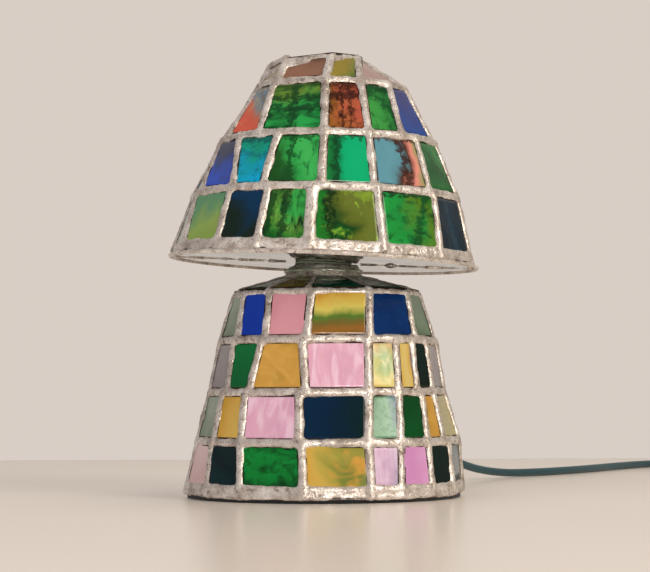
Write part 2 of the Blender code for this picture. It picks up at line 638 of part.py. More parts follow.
def make_floor(angles, axis):
    """Two half discs inside the shade's wall, with a hole for the lamp holder."""
    slope = wall_slope(SHADE_RIM, SHADE_LOW)
    wall_start = SHADE_RIM.height + SETBACK * math.cos(slope) - GLASS * math.sin(slope)
    inset = SETBACK * math.sin(slope) + GLASS * math.cos(slope) + GAP
    inset += max(0.0, GLASS + GAP - wall_start) * math.tan(slope)
    outline = [(spot.x, spot.y) for spot in outline_of(SHADE_RIM, angles, inset)]
    hole = cutter(turned("floor_hole", disc_profile(SHADE_HOLE, -0.01, 0.02), brass(),
                         parent=axis, sides=36))
    for name, side in (("shade_floor_front", -1), ("shade_floor_back", 1)):
        made = prism(name, outline, 0.0, GLASS, clear_glass(), parent=axis)
        build = bmesh.new()
        build.from_mesh(made.data)
        halved = bmesh.ops.bisect_plane(
            build, geom=build.verts[:] + build.edges[:] + build.faces[:],
            plane_co=(0, side * GAP / 2, 0), plane_no=(0, -side, 0), clear_outer=True)
        rim = [part for part in halved["geom_cut"] if isinstance(part, bmesh.types.BMEdge)]
        bmesh.ops.holes_fill(build, edges=rim)
        bmesh.ops.recalc_face_normals(build, faces=build.faces)
        build.to_mesh(made.data)
        build.free()
        cut(made, hole)
    turned("shade_hole_ring", washer_profile(SHADE_HOLE, SHADE_HOLE + HOLE_RING_WIDTH, GLASS + GAP,
           GLASS + GAP + HOLE_RING_HEIGHT), solder(), parent=axis, ring=True, sides=36)


# Lead


def exit_of(seams):
    """The point on the outside of a pane in the lowest row where the lead leaves, and the pane's normal."""
    angles = [low for low, _ in seams]
    here = max(count for count, angle in enumerate(angles) if angle < EXIT_ANGLE)
    there = (here + 1) % len(seams)
    low_left, low_right = corner(FOOT_RIM, seams[here][0]), corner(FOOT_RIM, seams[there][0])
    high_left, high_right = corner(BASE_LOW, seams[here][1]), corner(BASE_LOW, seams[there][1])
    low, high = (low_left + low_right) / 2, (high_left + high_right) / 2
    spot = low.lerp(high, (EXIT_HEIGHT - FOOT_RIM.height) / (BASE_LOW.height - FOOT_RIM.height))
    return spot, (low_right - low_left).cross(high - low).normalized()


def make_lead(axis, glass, seams):
    """The bushing in the base's back, the strain relief and the lead from the lamp holder to the plug."""
    spot, out = exit_of(seams)
    place = Matrix.Translation(spot) @ out.to_track_quat("Z", "Y").to_matrix().to_4x4()
    bore = CORD_RADIUS + CORD_PLAY
    cut(glass, cutter(turned("bushing_hole", disc_profile(BUSHING_RADIUS + GAP, -0.02, 0.02), brass(),
                             place, sides=24)))
    seat = 2 * GAP
    turned("lead_bushing", [
        (bore, -BUSHING_LENGTH), (BUSHING_RADIUS, -BUSHING_LENGTH), (BUSHING_RADIUS, seat),
        (FLANGE_RADIUS, seat), (FLANGE_RADIUS, seat + FLANGE_THICKNESS * 0.6),
        (FLANGE_RADIUS - 0.0006, seat + FLANGE_THICKNESS), (bore, seat + FLANGE_THICKNESS)],
        brass(), place, ring=True, sides=24)
    start = seat + FLANGE_THICKNESS + GAP
    turned("strain_relief", [
        (bore, start), (RELIEF_RADIUS, start), (RELIEF_RADIUS, start + 0.004),
        (RELIEF_TIP, start + RELIEF_LENGTH - 0.001), (RELIEF_TIP - 0.0005, start + RELIEF_LENGTH),
        (bore, start + RELIEF_LENGTH)],
        material("relief_rubber", (0.01, 0.05, 0.055), 0.6), place, ring=True, sides=24)
    mouth = start + RELIEF_LENGTH
    leaning = axis.matrix_world
    inner = [
        leaning @ Vector((0, 0, 0.0090)), leaning @ Vector((0, 0, -0.0080)),
        leaning @ Vector((0, 0, -PIPE_BELOW)), Vector((0.0020, 0.0060, 0.0900)),
        Vector((0.0100, 0.0200, 0.0560)), Vector((0.0180, 0.0420, 0.0300)),
        place @ Vector((0, 0, -BUSHING_LENGTH - 0.0110)), place @ Vector((0, 0, -BUSHING_LENGTH - 0.0050)),
        place @ Vector((0, 0, -BUSHING_LENGTH)),
        place @ Vector((0, 0, 0.0)), place @ Vector((0, 0, 0.0150)), place @ Vector((0, 0, mouth)),
    ]
    tube("inner_lead", inner, CORD_RADIUS, braid(), step=0.0090)
    leave = place @ Vector((0, 0, mouth + GAP))
    make_cord(leave, out)


def make_cord(leave, out):
    """From the strain relief down to the surface and along it to the coil, the switch and the plug."""
    floor = CORD_ON_FLOOR
    tube("cord", [
        leave, leave + out * 0.012, (0.0560, 0.1320, 0.0268), (0.0700, 0.1560, 0.0226),
        (0.0880, 0.1810, 0.0150), (0.1080, 0.2060, 0.0075), (0.1300, 0.2300, floor + 0.0008),
        (0.1540, 0.2540, floor), (0.1780, 0.2800, floor), (0.2000, 0.3100, floor),
        (0.2200, 0.3430, floor), (0.2420, 0.3760, floor), (0.2620, 0.4000, floor),
        COIL_CENTRE + Vector((-COIL_MAJOR - COIL_MINOR - 0.0026, 0.0190, floor)),
    ], CORD_RADIUS, braid())
    turned("cord_coil", [
        (COIL_MAJOR + COIL_MINOR * math.cos(part * math.tau / 10),
         COIL_MINOR * (1 + math.sin(part * math.tau / 10))) for part in range(10)],
        braid(), Matrix.Translation(COIL_CENTRE), ring=True, sides=32)
    make_switch()
    make_plug()
    entry = SWITCH_SPLIT
    half = SWITCH_LENGTH / 2 + GAP
    tube("cord_to_switch", [
        COIL_CENTRE + Vector((-0.0146, -0.0402, floor)), (0.2960, 0.3505, floor), (0.2882, 0.3435, 0.0034),
        (0.2848, 0.3350, 0.0056), SWITCH_CENTRE + Vector((0, half + 0.006, entry)),
        SWITCH_CENTRE + Vector((0, half, entry)),
    ], CORD_RADIUS, braid(), step=0.010)
    tube("cord_to_plug", [
        SWITCH_CENTRE + Vector((0, -half, entry)), SWITCH_CENTRE + Vector((0, -half - 0.006, entry)),
        (0.2860, 0.2440, 0.0050), (0.2950, 0.2330, 0.0044), (0.3040, 0.2240, 0.0058),
        PLUG_CENTRE + Vector((0, PLUG_LENGTH / 2 + GAP + 0.006, PLUG_HEIGHT / 2)),
        PLUG_CENTRE + Vector((0, PLUG_LENGTH / 2 + GAP, PLUG_HEIGHT / 2)),
    ], CORD_RADIUS, braid(), step=0.010)


def make_switch():
    """A hand switch on the lead: two hollow halves, two screws, a contact strip and a rocker on its pin."""
    centre = Matrix.Translation(SWITCH_CENTRE)
    inside = (SWITCH_WIDTH - 2 * SWITCH_WALL, SWITCH_LENGTH - 2 * SWITCH_WALL)
    low_height = SWITCH_SPLIT - GAP / 2
    high_height = SWITCH_HEIGHT - SWITCH_SPLIT - GAP / 2
    lower = rounded_box("switch_lower", (SWITCH_WIDTH, SWITCH_LENGTH, low_height), dark_plastic(),
                        centre @ Matrix.Translation((0, 0, low_height / 2)), bevel=SWITCH_EDGE)
    upper = rounded_box("switch_upper", (SWITCH_WIDTH, SWITCH_LENGTH, high_height), dark_plastic(),
                        centre @ Matrix.Translation((0, 0, SWITCH_HEIGHT - high_height / 2)),
                        bevel=SWITCH_EDGE)
    depth = SWITCH_HEIGHT - 2 * SWITCH_WALL
    hollow = cutter(rounded_box("switch_hollow", (*inside, depth), steel(),
                                centre @ Matrix.Translation((0, 0, SWITCH_WALL + depth / 2))))
    opening = (ROCKER_WIDTH + 2 * ROCKER_PLAY, ROCKER_LENGTH + 2 * ROCKER_PLAY, 4 * SWITCH_WALL)
    well = cutter(rounded_box("rocker_well", opening, steel(),
                              centre @ Matrix.Translation((0, 0, SWITCH_HEIGHT))))
    for half in (lower, upper):
        cut(half, hollow)
    cut(upper, well)
    for side, sign in ((1, 1), (2, -1)):
        at_screw = centre @ Matrix.Translation((0, sign * SWITCH_SCREW_SPACING / 2, 0))
        post = cutter(turned(f"switch_post_{side}", disc_profile(
            SWITCH_SCREW_RADIUS + SWITCH_WALL, SWITCH_SPLIT - 0.0010, SWITCH_HEIGHT - SWITCH_WALL / 2),
            dark_plastic(), at_screw, sides=12))
        join = upper.modifiers.new("post", "BOOLEAN")
        join.operation = "UNION"
        join.object = post
        bore = cutter(turned(f"switch_bore_{side}", disc_profile(
            SWITCH_SCREW_RADIUS + GAP, -0.001, SWITCH_HEIGHT - 2 * SWITCH_WALL), steel(),
            at_screw, sides=12))
        cut(lower, bore)
        cut(upper, bore)
        turned(f"switch_screw_{side}", disc_profile(
            SWITCH_SCREW_RADIUS, 0.0008, SWITCH_HEIGHT - 2 * SWITCH_WALL - GAP), steel(), at_screw, sides=12)
    rounded_box("switch_contact", (STRIP_WIDTH, STRIP_LENGTH, STRIP_THICKNESS), brass(),
                centre @ Matrix.Translation((0, 0, SWITCH_WALL + GAP + STRIP_THICKNESS / 2)))
    make_rocker(upper, centre @ Matrix.Translation((0, 0, SWITCH_HEIGHT - PIN_DEPTH)))


def make_rocker(upper, pivot):
    """The rocker, pressed down at one end, and the pin that it turns on."""
    across = Matrix.Rotation(math.pi / 2, 4, "Y")
    reach = ROCKER_WIDTH / 2 + ROCKER_PLAY + PIN_GRIP
    turned("rocker_pin", disc_profile(ROCKER_PIN, -reach, reach), steel(), pivot @ across, sides=12)
    bore = cutter(turned("pin_bore", disc_profile(ROCKER_PIN + PIN_PLAY, -reach - GAP, reach + GAP), steel(),
                         pivot @ across, sides=12))
    cut(upper, bore)
    half, middle, dip = ROCKER_LENGTH / 2, ROCKER_PROUD - ROCKER_DIP, ROCKER_PROUD - ROCKER_DIP * 0.75
    build = bmesh.new()
    profile = [(-half, -ROCKER_DEPTH), (half, -ROCKER_DEPTH), (half, ROCKER_PROUD), (half * 0.5, dip),
               (0.0, middle), (-half * 0.5, dip), (-half, ROCKER_PROUD)]
    face = build.faces.new([build.verts.new((-ROCKER_WIDTH / 2, y, z)) for y, z in profile])
    pushed = bmesh.ops.extrude_face_region(build, geom=[face])
    moved = [part for part in pushed["geom"] if isinstance(part, bmesh.types.BMVert)]
    bmesh.ops.translate(build, verts=moved, vec=(ROCKER_WIDTH, 0, 0))
    bmesh.ops.recalc_face_normals(build, faces=build.faces)
    rocker = finish(build, "switch_rocker", material("rocker_plastic", (0.03, 0.03, 0.03), 0.35),
                    pivot @ Matrix.Rotation(math.radians(ROCKER_REST), 4, "X"))
    cut(rocker, bore)


def make_plug():
    """A flat two-pin plug lying on its widest side."""
    body_place = Matrix.Translation(PLUG_CENTRE + Vector((0, 0, PLUG_HEIGHT / 2)))
    build = bmesh.new()
    bmesh.ops.create_cube(build, size=1.0)
    bmesh.ops.scale(build, vec=(PLUG_WIDTH, PLUG_LENGTH, PLUG_HEIGHT), verts=build.verts)
    for vertex in build.verts:
        if vertex.co.y > 0:
            vertex.co.x *= PLUG_TAPER
    bmesh.ops.bevel(build, geom=build.edges[:], offset=PLUG_EDGE, segments=2, profile=0.5, affect="EDGES")
    finish(build, "plug_body", dark_plastic(), body_place)
    for side, sign in ((1, 1), (2, -1)):
        place = body_place @ Matrix.Translation((sign * PIN_SPACING / 2, -PLUG_LENGTH / 2 - GAP, 0))
        turned(f"plug_pin_{side}", [
            (0.0, 0.0), (PIN_RADIUS, 0.0), (PIN_RADIUS, PIN_LENGTH - 0.0012),
            (PIN_RADIUS * 0.5, PIN_LENGTH), (0.0, PIN_LENGTH)], steel(),
            place @ Matrix.Rotation(math.pi / 2, 4, "X"), sides=16)


def main():
    for old in list(bpy.data.objects):
        bpy.data.objects.remove(old, do_unlink=True)
    axis = bpy.data.objects.new("leaning_axis", None)
    bpy.context.collection.objects.link(axis)
    axis.location = SEAT
    axis.rotation_euler = (0.0, math.radians(LEAN), 0.0)
    bpy.context.view_layer.update()
    lowest_row, lowest_seams = make_base()
    make_neck(axis)
    make_bulb(axis, make_holder(axis))
    make_shade(axis)
    make_lead(axis, lowest_row, lowest_seams)


main()
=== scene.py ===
import math
import random

import bmesh
import bpy
from mathutils import Matrix, Vector


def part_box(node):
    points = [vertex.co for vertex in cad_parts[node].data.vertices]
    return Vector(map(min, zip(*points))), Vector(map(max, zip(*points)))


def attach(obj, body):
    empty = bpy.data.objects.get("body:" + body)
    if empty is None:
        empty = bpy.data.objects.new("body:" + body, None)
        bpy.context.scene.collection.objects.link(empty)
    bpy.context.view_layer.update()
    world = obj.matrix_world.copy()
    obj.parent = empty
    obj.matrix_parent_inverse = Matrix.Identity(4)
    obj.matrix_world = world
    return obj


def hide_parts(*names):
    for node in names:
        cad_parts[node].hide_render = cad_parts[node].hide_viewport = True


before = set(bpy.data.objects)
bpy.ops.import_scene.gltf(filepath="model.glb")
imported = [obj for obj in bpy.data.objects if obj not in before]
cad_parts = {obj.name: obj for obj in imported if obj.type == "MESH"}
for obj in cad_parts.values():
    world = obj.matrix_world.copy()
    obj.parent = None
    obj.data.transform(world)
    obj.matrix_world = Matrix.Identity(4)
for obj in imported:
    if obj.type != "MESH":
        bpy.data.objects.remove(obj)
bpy.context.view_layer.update()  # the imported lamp, in metres, standing on z = 0 with its front towards -Y
bpy.ops.object.select_all(action="DESELECT")
chance = random.Random(11)  # every irregular piece draws from this, in the same order each run


# Small tools

def hexColour(code):  # an sRGB hex value as linear red, green, blue and alpha
    parts = [int(code[at:at + 2], 16) / 255 for at in (1, 3, 5)]
    return (*[part / 12.92 if part <= 0.04045 else ((part + 0.055) / 1.055) ** 2.4 for part in parts], 1.0)


def perMetre(millimetres):  # the texture scale that repeats once in this many millimetres
    return 1000.0 / millimetres


def addNode(tree, kind, inputs=None, stops=None, **settings):
    node = tree.nodes.new("ShaderNode" + kind)
    for name, value in settings.items():
        setattr(node, name, value)
    for name, value in (inputs or {}).items():
        if isinstance(value, bpy.types.NodeSocket):
            tree.links.new(value, node.inputs[name])
        else:
            node.inputs[name].default_value = value
    if stops:  # (place, grey value or hex colour) from left to right
        elements = node.color_ramp.elements
        while len(elements) < len(stops):
            elements.new(1.0)
        for element, (place, colour) in zip(elements, stops):
            element.position = place
            element.color = hexColour(colour) if isinstance(colour, str) else (colour, colour, colour, 1.0)
    return node


def newMaterial(name, **sockets):  # a Principled surface with these constant sockets
    made = bpy.data.materials.new(name)
    made.use_nodes = True
    tree = made.node_tree
    shader = tree.nodes["Principled BSDF"]
    for socket, value in sockets.items():
        label = socket.replace("_", " ")
        shader.inputs[label].default_value = hexColour(value) if isinstance(value, str) else value
    return made, tree, shader


def bumpFrom(tree, shader, height, strength, depth):  # depth in millimetres
    bump = addNode(tree, "Bump", {"Height": height, "Strength": strength, "Distance": depth / 1000})
    tree.links.new(bump.outputs["Normal"], shader.inputs["Normal"])


def objectPlace(tree):
    return addNode(tree, "TexCoord").outputs["Object"]


def noise(tree, place, millimetres, **settings):  # place is a vector output, millimetres the size of its patches
    return addNode(tree, "TexNoise", {"Vector": place, "Scale": perMetre(millimetres), **settings}).outputs["Fac"]


def ramp(tree, value, stops):
    return addNode(tree, "ValToRGB", {"Fac": value}, stops=stops).outputs["Color"]


def remap(tree, value, low, high, toLow=0.0, toHigh=1.0):
    return addNode(tree, "MapRange", {"Value": value, "From Min": low, "From Max": high,
                                      "To Min": toLow, "To Max": toHigh}, clamp=True).outputs["Result"]


def blend(tree, share, first, second):
    return addNode(tree, "MixRGB", {"Fac": share, "Color1": first, "Color2": second}).outputs["Color"]


def combine(tree, operation, *values):
    return addNode(tree, "Math", dict(enumerate(values)), operation=operation).outputs[0]


def wire(tree, shader, **outputs):
    for socket, output in outputs.items():
        tree.links.new(output, shader.inputs[socket.replace("_", " ")])


def mottled(name, spots, tones, gloss=None, bump=None, **sockets):
    # One noise gives the tones and, between two of its values, the gloss. The bump is another noise, or the same.
    made, tree, shader = newMaterial(name, **sockets)
    place = objectPlace(tree)
    patches = noise(tree, place, **spots)
    wire(tree, shader, Base_Color=ramp(tree, patches, tones))
    if gloss:
        wire(tree, shader, Roughness=remap(tree, patches, *gloss))
    if bump:
        grain, strength, depth = bump
        bumpFrom(tree, shader, noise(tree, place, **grain) if grain else patches, strength, depth)
    return made


def pick(piece):
    bpy.ops.object.select_all(action="DESELECT")
    piece.select_set(True)
    bpy.context.view_layer.objects.active = piece


def editing(piece):
    pick(piece)
    bpy.ops.object.mode_set(mode="EDIT")
    bpy.ops.mesh.select_all(action="SELECT")


def doneEditing():
    bpy.ops.object.mode_set(mode="OBJECT")


def settle(piece):  # applies its modifiers and puts its place into its mesh
    pick(piece)
    bpy.ops.object.convert(target="MESH")
    bpy.ops.object.transform_apply(location=True, rotation=True, scale=True)


def fit(piece, finish, body, nodes=(), smooth=40):
    pick(piece)
    piece.data.materials.clear()
    piece.data.materials.append(finish)
    if smooth:
        bpy.ops.object.shade_smooth_by_angle(angle=math.radians(smooth))
    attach(piece, body)
    if nodes:
        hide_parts(*nodes)
    piece.select_set(False)
    return piece


def copyOfNode(node, name):  # a merged copy of a CAD solid, to work on
    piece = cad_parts[node].copy()
    piece.data = piece.data.copy()
    piece.name = name
    for key in list(piece.keys()):
        del piece[key]
    piece.parent = None
    bpy.context.collection.objects.link(piece)
    piece.hide_render = piece.hide_viewport = False
    editing(piece)
    bpy.ops.mesh.remove_doubles(threshold=0.00001)
    bpy.ops.mesh.dissolve_limited(angle_limit=math.radians(1))
    doneEditing()
    return piece


def turned(name, profile, sides, place, closed=False):  # a lathe: (radius, height) rings, extruded upwards
    radius, height = profile[0]
    bpy.ops.mesh.primitive_circle_add(vertices=sides, radius=radius, location=(0, 0, height),
                                      fill_type="NOTHING" if closed else "NGON")
    piece = bpy.context.object
    piece.name = name
    bpy.ops.object.transform_apply(location=True)
    editing(piece)
    for (oldRadius, oldHeight), (radius, height) in zip(profile, profile[1:]):
        bpy.ops.mesh.extrude_region_move(TRANSFORM_OT_translate={"value": (0, 0, height - oldHeight)})
        size = radius / oldRadius
        bpy.ops.transform.resize(value=(size, size, 1), center_override=(0, 0, height))
    bpy.ops.mesh.select_all(action="SELECT")
    bpy.ops.mesh.remove_doubles(threshold=0.000002)
    bpy.ops.mesh.normals_make_consistent(inside=False)
    doneEditing()
    piece.data.transform(place)
    return piece


# Camera, light and floor

studio = {"eye": (0.0009, -1.2, 0.0663), "lookUp": 2.89, "lens": 109.7, "roll": 0.2,
          "floor": "#E2D9CE", "wall": "#D8CEC5", "wallLight": 1.0, "behind": 0.95, "room": 0.30, "turn": (0.6, 0.95),
          "floorFront": -1.6, "floorBack": 0.60, "floorHalf": 1.9, "lights": (
              # name, place, what it faces, size, watts, tint, and whether the glass mirrors it
              ("windowRight", (1.3, -1.2, 1.05), (0, 0, 0.15), (0.9, 1.4), 21, "#FFF4E6", True),
              ("fillLeft", (-1.2, -1.3, 0.7), (0, 0, 0.12), (1.4, 1.2), 17, "#F6F4FF", False),
              ("lowFront", (0.45, -1.5, 0.16), (0, 0, 0.12), (0.3, 0.2), 5.5, "#FFF8F0", True),
              ("above", (0.2, 0.3, 1.7), (0, 0, 0.1), (1.3, 1.3), 12, "#FFF8F0", False))}


def softBox(name, place, aim, size, watts, tint, mirrored):
    data = bpy.data.lights.new(name, "AREA")
    data.shape = "RECTANGLE"
    data.size, data.size_y = size
    data.energy = watts
    data.color = hexColour(tint)[:3]
    lamp = bpy.data.objects.new(name, data)
    bpy.context.collection.objects.link(lamp)
    lamp.location = place
    lamp.rotation_euler = (Vector(aim) - Vector(place)).to_track_quat("-Z", "Y").to_euler()
    lamp.visible_glossy = mirrored  # the flat panes would mirror a wide fill as haze


def paleRoom(look):  # a pale wall all round to the eye; the lamp itself is lit more from behind than from the room
    world = bpy.data.worlds.new("paleRoom")
    bpy.context.scene.world = world
    world.use_nodes = True
    tree = world.node_tree
    background = tree.nodes["Background"]
    coords = addNode(tree, "TexCoord")
    axes = addNode(tree, "SeparateXYZ", {0: coords.outputs["Generated"]})
    light = remap(tree, axes.outputs["Y"], *look["turn"], look["room"], look["behind"])
    seen = addNode(tree, "LightPath")
    strength = addNode(tree, "Mix", {0: seen.outputs["Is Camera Ray"], 2: light, 3: look["wallLight"]})
    background.inputs["Color"].default_value = hexColour(look["wall"])
    tree.links.new(strength.outputs[0], background.inputs["Strength"])


def makeStudio(look):
    data = bpy.data.cameras.new("camera")
    data.lens, data.sensor_width, data.clip_start = look["lens"], 36, 0.01
    camera = bpy.data.objects.new("camera", data)
    bpy.context.collection.objects.link(camera)
    camera.location = look["eye"]
    camera.rotation_euler = (math.radians(90 + look["lookUp"]), math.radians(look["roll"]), 0)
    bpy.context.scene.camera = camera
    bpy.context.scene.view_settings.view_transform = "Standard"  # the finishes' colours as they are given
    paleRoom(look)
    for light in look["lights"]:
        softBox(*light)
    bpy.ops.mesh.primitive_plane_add(size=1, location=(0, 0, 0))
    floor = bpy.context.object
    floor.name = "floor"
    for corner in floor.data.vertices:
        corner.co.x *= 2 * look["floorHalf"]
        corner.co.y = look["floorFront"] if corner.co.y < 0 else look["floorBack"]
    # White satin lacquer on board: rolled on, so it shines softly and has a faint orange peel
    lacquer, tree, shader = newMaterial("satinLacquer", Base_Color=look["floor"], Roughness=0.26, IOR=1.45)
    bumpFrom(tree, shader, noise(tree, objectPlace(tree), 14, Detail=2.0), 0.12, 0.03)
    floor.data.materials.append(lacquer)
    floor.select_set(False)
    print("studio ready")


makeStudio(studio)


# Plain finishes

def braidedCotton():  # woven sleeve over the lead: matt crossing threads, teal, with painted shade darkening the gaps between them
    made, tree, shader = newMaterial("braidedCotton", Roughness=0.85, Sheen_Weight=0.25, Sheen_Roughness=0.5)
    coords = addNode(tree, "TexCoord")  # the UV map is in millimetres: round the lead, then along it
    crossings = []
    for turn in (42, -42):
        slanted = addNode(tree, "Mapping", {"Vector": coords.outputs["UV"], "Rotation": (0, 0, math.radians(turn))})
        threads = addNode(tree, "TexWave", {"Vector": slanted.outputs["Vector"], "Scale": 0.20,
                                            "Distortion": 0.4, "Detail": 1.0})  # a thread is 1.6 mm wide
        crossings.append(threads.outputs["Fac"])
    weave = combine(tree, "MAXIMUM", *crossings)
    fibres = noise(tree, coords.outputs["Object"], 0.7, Detail=4.0)
    worn = noise(tree, coords.outputs["Object"], 35, Detail=2.0)
    # teal thread with the fibres' own tone; the near-black low end is painted shade in the gaps between threads
    dyedWithGapShade = ramp(tree, combine(tree, "MULTIPLY", weave, fibres),
                [(0.05, "#01181C"), (0.35, "#053C44"), (0.7, "#0A545E")])
    wire(tree, shader, Base_Color=blend(tree, worn, dyedWithGapShade, hexColour("#06424C")))
    bumpFrom(tree, shader, weave, 0.8, 0.35)
    return made


def plainMetal(name, colours, roughness, brushing=(1, 1, 1)):
    # Turned, plated or drawn metal: fine tool lines and patches where the lacquer or plating has dulled
    made, tree, shader = newMaterial(name, Metallic=1.0)
    place = objectPlace(tree)
    stretched = addNode(tree, "Mapping", {"Vector": place, "Scale": brushing})
    lines = noise(tree, stretched.outputs["Vector"], 1.2, Detail=5.0)
    patches = noise(tree, place, 30, Detail=4.0, Roughness=0.6)
    wire(tree, shader, Base_Color=ramp(tree, patches, [(0.38, colours[0]), (0.62, colours[1])]),
         Roughness=remap(tree, lines, 0.3, 0.7, *roughness))
    bumpFrom(tree, shader, lines, 0.25, 0.03)
    return made


# Lead: one braided cord from the strain relief to the coil, the switch and the plug

lead = {
    "radius": 0.00275, "length": 1.8, "floor": 0.00285, "sides": 14, "step": 0.0032,
    "coilCentre": Vector((0.3200, 0.3960, 0.0)), "coilMajor": 0.0305, "coilPitch": 0.0056, "turns": 6.594,
    "coilLift": 0.0008, "firstAngle": 112.0,  # the lift leaves room for the tie under the lowest turns
    "perTurn": 30, "stay": 0.66,  # a turn stays in its place for this share of its length
    "layer": 0.866,  # how much higher the next layer lies, over the pitch
    "switchCentre": Vector((0.2840, 0.2900, 0.0)), "switchHalf": 0.0300, "switchEntry": 0.0075,
    "plugCentre": Vector((0.3060, 0.1900, 0.0)), "plugHalf": 0.0180, "plugEntry": 0.00685,
}


spanParts = 24  # how finely a span between two points is measured


def smoothRoute(points, step):  # points a step apart on a smooth curve through the route's own points
    route = [Vector(point) for point in points]
    ends = [2 * route[0] - route[1], *route, 2 * route[-1] - route[-2]]
    dense = []
    for before, start, end, after in zip(ends, ends[1:], ends[2:], ends[3:]):
        for part in range(spanParts):
            t = part / spanParts
            dense.append(0.5 * (2 * start + (end - before) * t
                                + (2 * before - 5 * start + 4 * end - after) * t * t
                                + (3 * start - before - 3 * end + after) * t ** 3))
    dense.append(route[-1])
    length = sum((b - a).length for a, b in zip(dense, dense[1:]))
    count = max(2, round(length / step))
    spaced, walked, target = [dense[0]], 0.0, length / count
    for a, b in zip(dense, dense[1:]):
        piece = (b - a).length
        while walked + piece >= target and len(spaced) < count:
            spaced.append(a.lerp(b, (target - walked) / piece))
            target += length / count
        walked += piece
    spaced.append(dense[-1])
    return spaced


def coilRoute(look):
    # The turns go clockwise, each one lying beside the last: along the bottom, up the inside, over the top and down
    # its middle
    pitch, rise = look["coilPitch"], look["coilPitch"] * look["layer"]
    low = look["floor"] + look["coilLift"]
    places = [(pitch / 2, low), (-pitch / 2, low), (-pitch, low + rise), (-pitch / 2, low + 2 * rise),
              (pitch / 2, low + 2 * rise), (0, low + rise), (pitch, low + rise)]
    points = []
    for step in range(int(look["turns"] * look["perTurn"]) + 1):
        along = step / look["perTurn"]
        here = min(int(along), len(places) - 1)
        there = min(here + 1, len(places) - 1)
        part = min(1.0, max(0.0, (along - here - look["stay"]) / (1 - look["stay"])))
        part = part * part * (3 - 2 * part)
        outward = places[here][0] + (places[there][0] - places[here][0]) * part
        up = places[here][1] + (places[there][1] - places[here][1]) * part
        angle = math.radians(look["firstAngle"] - 360 * along)
        radius = look["coilMajor"] + outward
        points.append(look["coilCentre"] + Vector((radius * math.cos(angle), radius * math.sin(angle), up)))
    return points


def leadRoute(look, leave, out):
    floor = look["floor"]
    toCoil = [
        leave, leave + out * 0.012, (0.0560, 0.1320, 0.0268), (0.0700, 0.1560, 0.0226),
        (0.0880, 0.1810, 0.0150), (0.1080, 0.2060, 0.0075), (0.1300, 0.2300, floor + 0.0008),
        (0.1540, 0.2540, floor), (0.1780, 0.2800, floor), (0.2000, 0.3100, floor),
        (0.2200, 0.3430, floor), (0.2420, 0.3760, floor), (0.2620, 0.4000, floor),
        look["coilCentre"] + Vector((-0.0419, 0.0190, floor)),
        look["coilCentre"] + Vector((-0.0265, 0.0300, floor)),
    ]
    switchEnd = look["switchHalf"] + 0.0003
    plugEnd = look["plugHalf"] + 0.0003
    toPlug = [
        look["coilCentre"] + Vector((-0.0170, -0.0400, 0.0068)), (0.2955, 0.3500, 0.0048),
        (0.2882, 0.3430, 0.0042), (0.2848, 0.3350, 0.0056),
        look["switchCentre"] + Vector((0, switchEnd + 0.006, look["switchEntry"])),
        look["switchCentre"] + Vector((0, switchEnd, look["switchEntry"])),
        look["switchCentre"] + Vector((0, 0, look["switchEntry"])),
        look["switchCentre"] + Vector((0, -switchEnd, look["switchEntry"])),
        look["switchCentre"] + Vector((0, -switchEnd - 0.006, look["switchEntry"])),
        (0.2860, 0.2440, 0.0050), (0.2950, 0.2330, 0.0044), (0.3040, 0.2240, 0.0058),
        look["plugCentre"] + Vector((0, plugEnd + 0.006, look["plugEntry"])),
        look["plugCentre"] + Vector((0, plugEnd, look["plugEntry"])),
    ]
    return smoothRoute(toCoil + coilRoute(look) + toPlug, look["step"])


def sweepTube(name, path, radius, sides):
    # A round tube along the path, with a UV map in millimetres: round it, then along it
    build = bmesh.new()
    uv = build.loops.layers.uv.new("wrap")
    heading = (path[1] - path[0]).normalized()
    side = heading.orthogonal().normalized()
    rings, marks, walked = [], [], 0.0
    for here, point in enumerate(path):
        before, after = path[max(0, here - 1)], path[min(len(path) - 1, here + 1)]
        heading = (after - before).normalized()
        side = (side - heading * side.dot(heading)).normalized()
        other = heading.cross(side)
        if here:
            walked += (point - path[here - 1]).length
        marks.append(walked * 1000)
        rings.append([build.verts.new(point + radius * (side * math.cos(math.tau * turn / sides)
                                                        + other * math.sin(math.tau * turn / sides)))
                      for turn in range(sides)])
    around = math.tau * radius * 1000
    for here in range(len(path) - 1):
        for turn in range(sides):
            nextTurn = (turn + 1) % sides
            face = build.faces.new((rings[here][turn], rings[here][nextTurn],
                                    rings[here + 1][nextTurn], rings[here + 1][turn]))
            spots = ((turn, here), (turn + 1, here), (turn + 1, here + 1), (turn, here + 1))
            for loop, (across, along) in zip(face.loops, spots):
                loop[uv].uv = (across / sides * around, marks[along])
    build.faces.new(rings[0][::-1])
    build.faces.new(rings[-1])
    bmesh.ops.recalc_face_normals(build, faces=build.faces)
    mesh = bpy.data.meshes.new(name)
    build.to_mesh(mesh)
    build.free()
    tube = bpy.data.objects.new(name, mesh)
    bpy.context.collection.objects.link(tube)
    return tube


def makeLead(look):
    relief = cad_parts["strain_relief"]
    spots = [relief.matrix_world @ vertex.co for vertex in relief.data.vertices]
    centre = sum(spots, Vector()) / len(spots)
    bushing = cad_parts["lead_bushing"]
    back = [bushing.matrix_world @ vertex.co for vertex in bushing.data.vertices]
    out = (centre - sum(back, Vector()) / len(back)).normalized()
    mouth = max((spot - centre).dot(out) for spot in spots)
    start = centre + out * (mouth + 0.0003)
    path = leadRoute(look, start, out)
    length = sum((b - a).length for a, b in zip(path, path[1:]))
    print("lead length", round(length, 3), "points", len(path))
    tube = sweepTube("braided_lead", path, look["radius"], look["sides"])
    fit(tube, braidedCotton(), "base",
        ("cord", "cord_coil", "cord_to_switch", "cord_to_plug"), smooth=60)
    return tube, path, start, out, length


leadTube, leadPath, leadStart, leadOut, leadLength = makeLead(lead)
onLead = []  # the separate pieces on the lead


# Leaded glass: the lines that the panes are cut to, as in the CAD

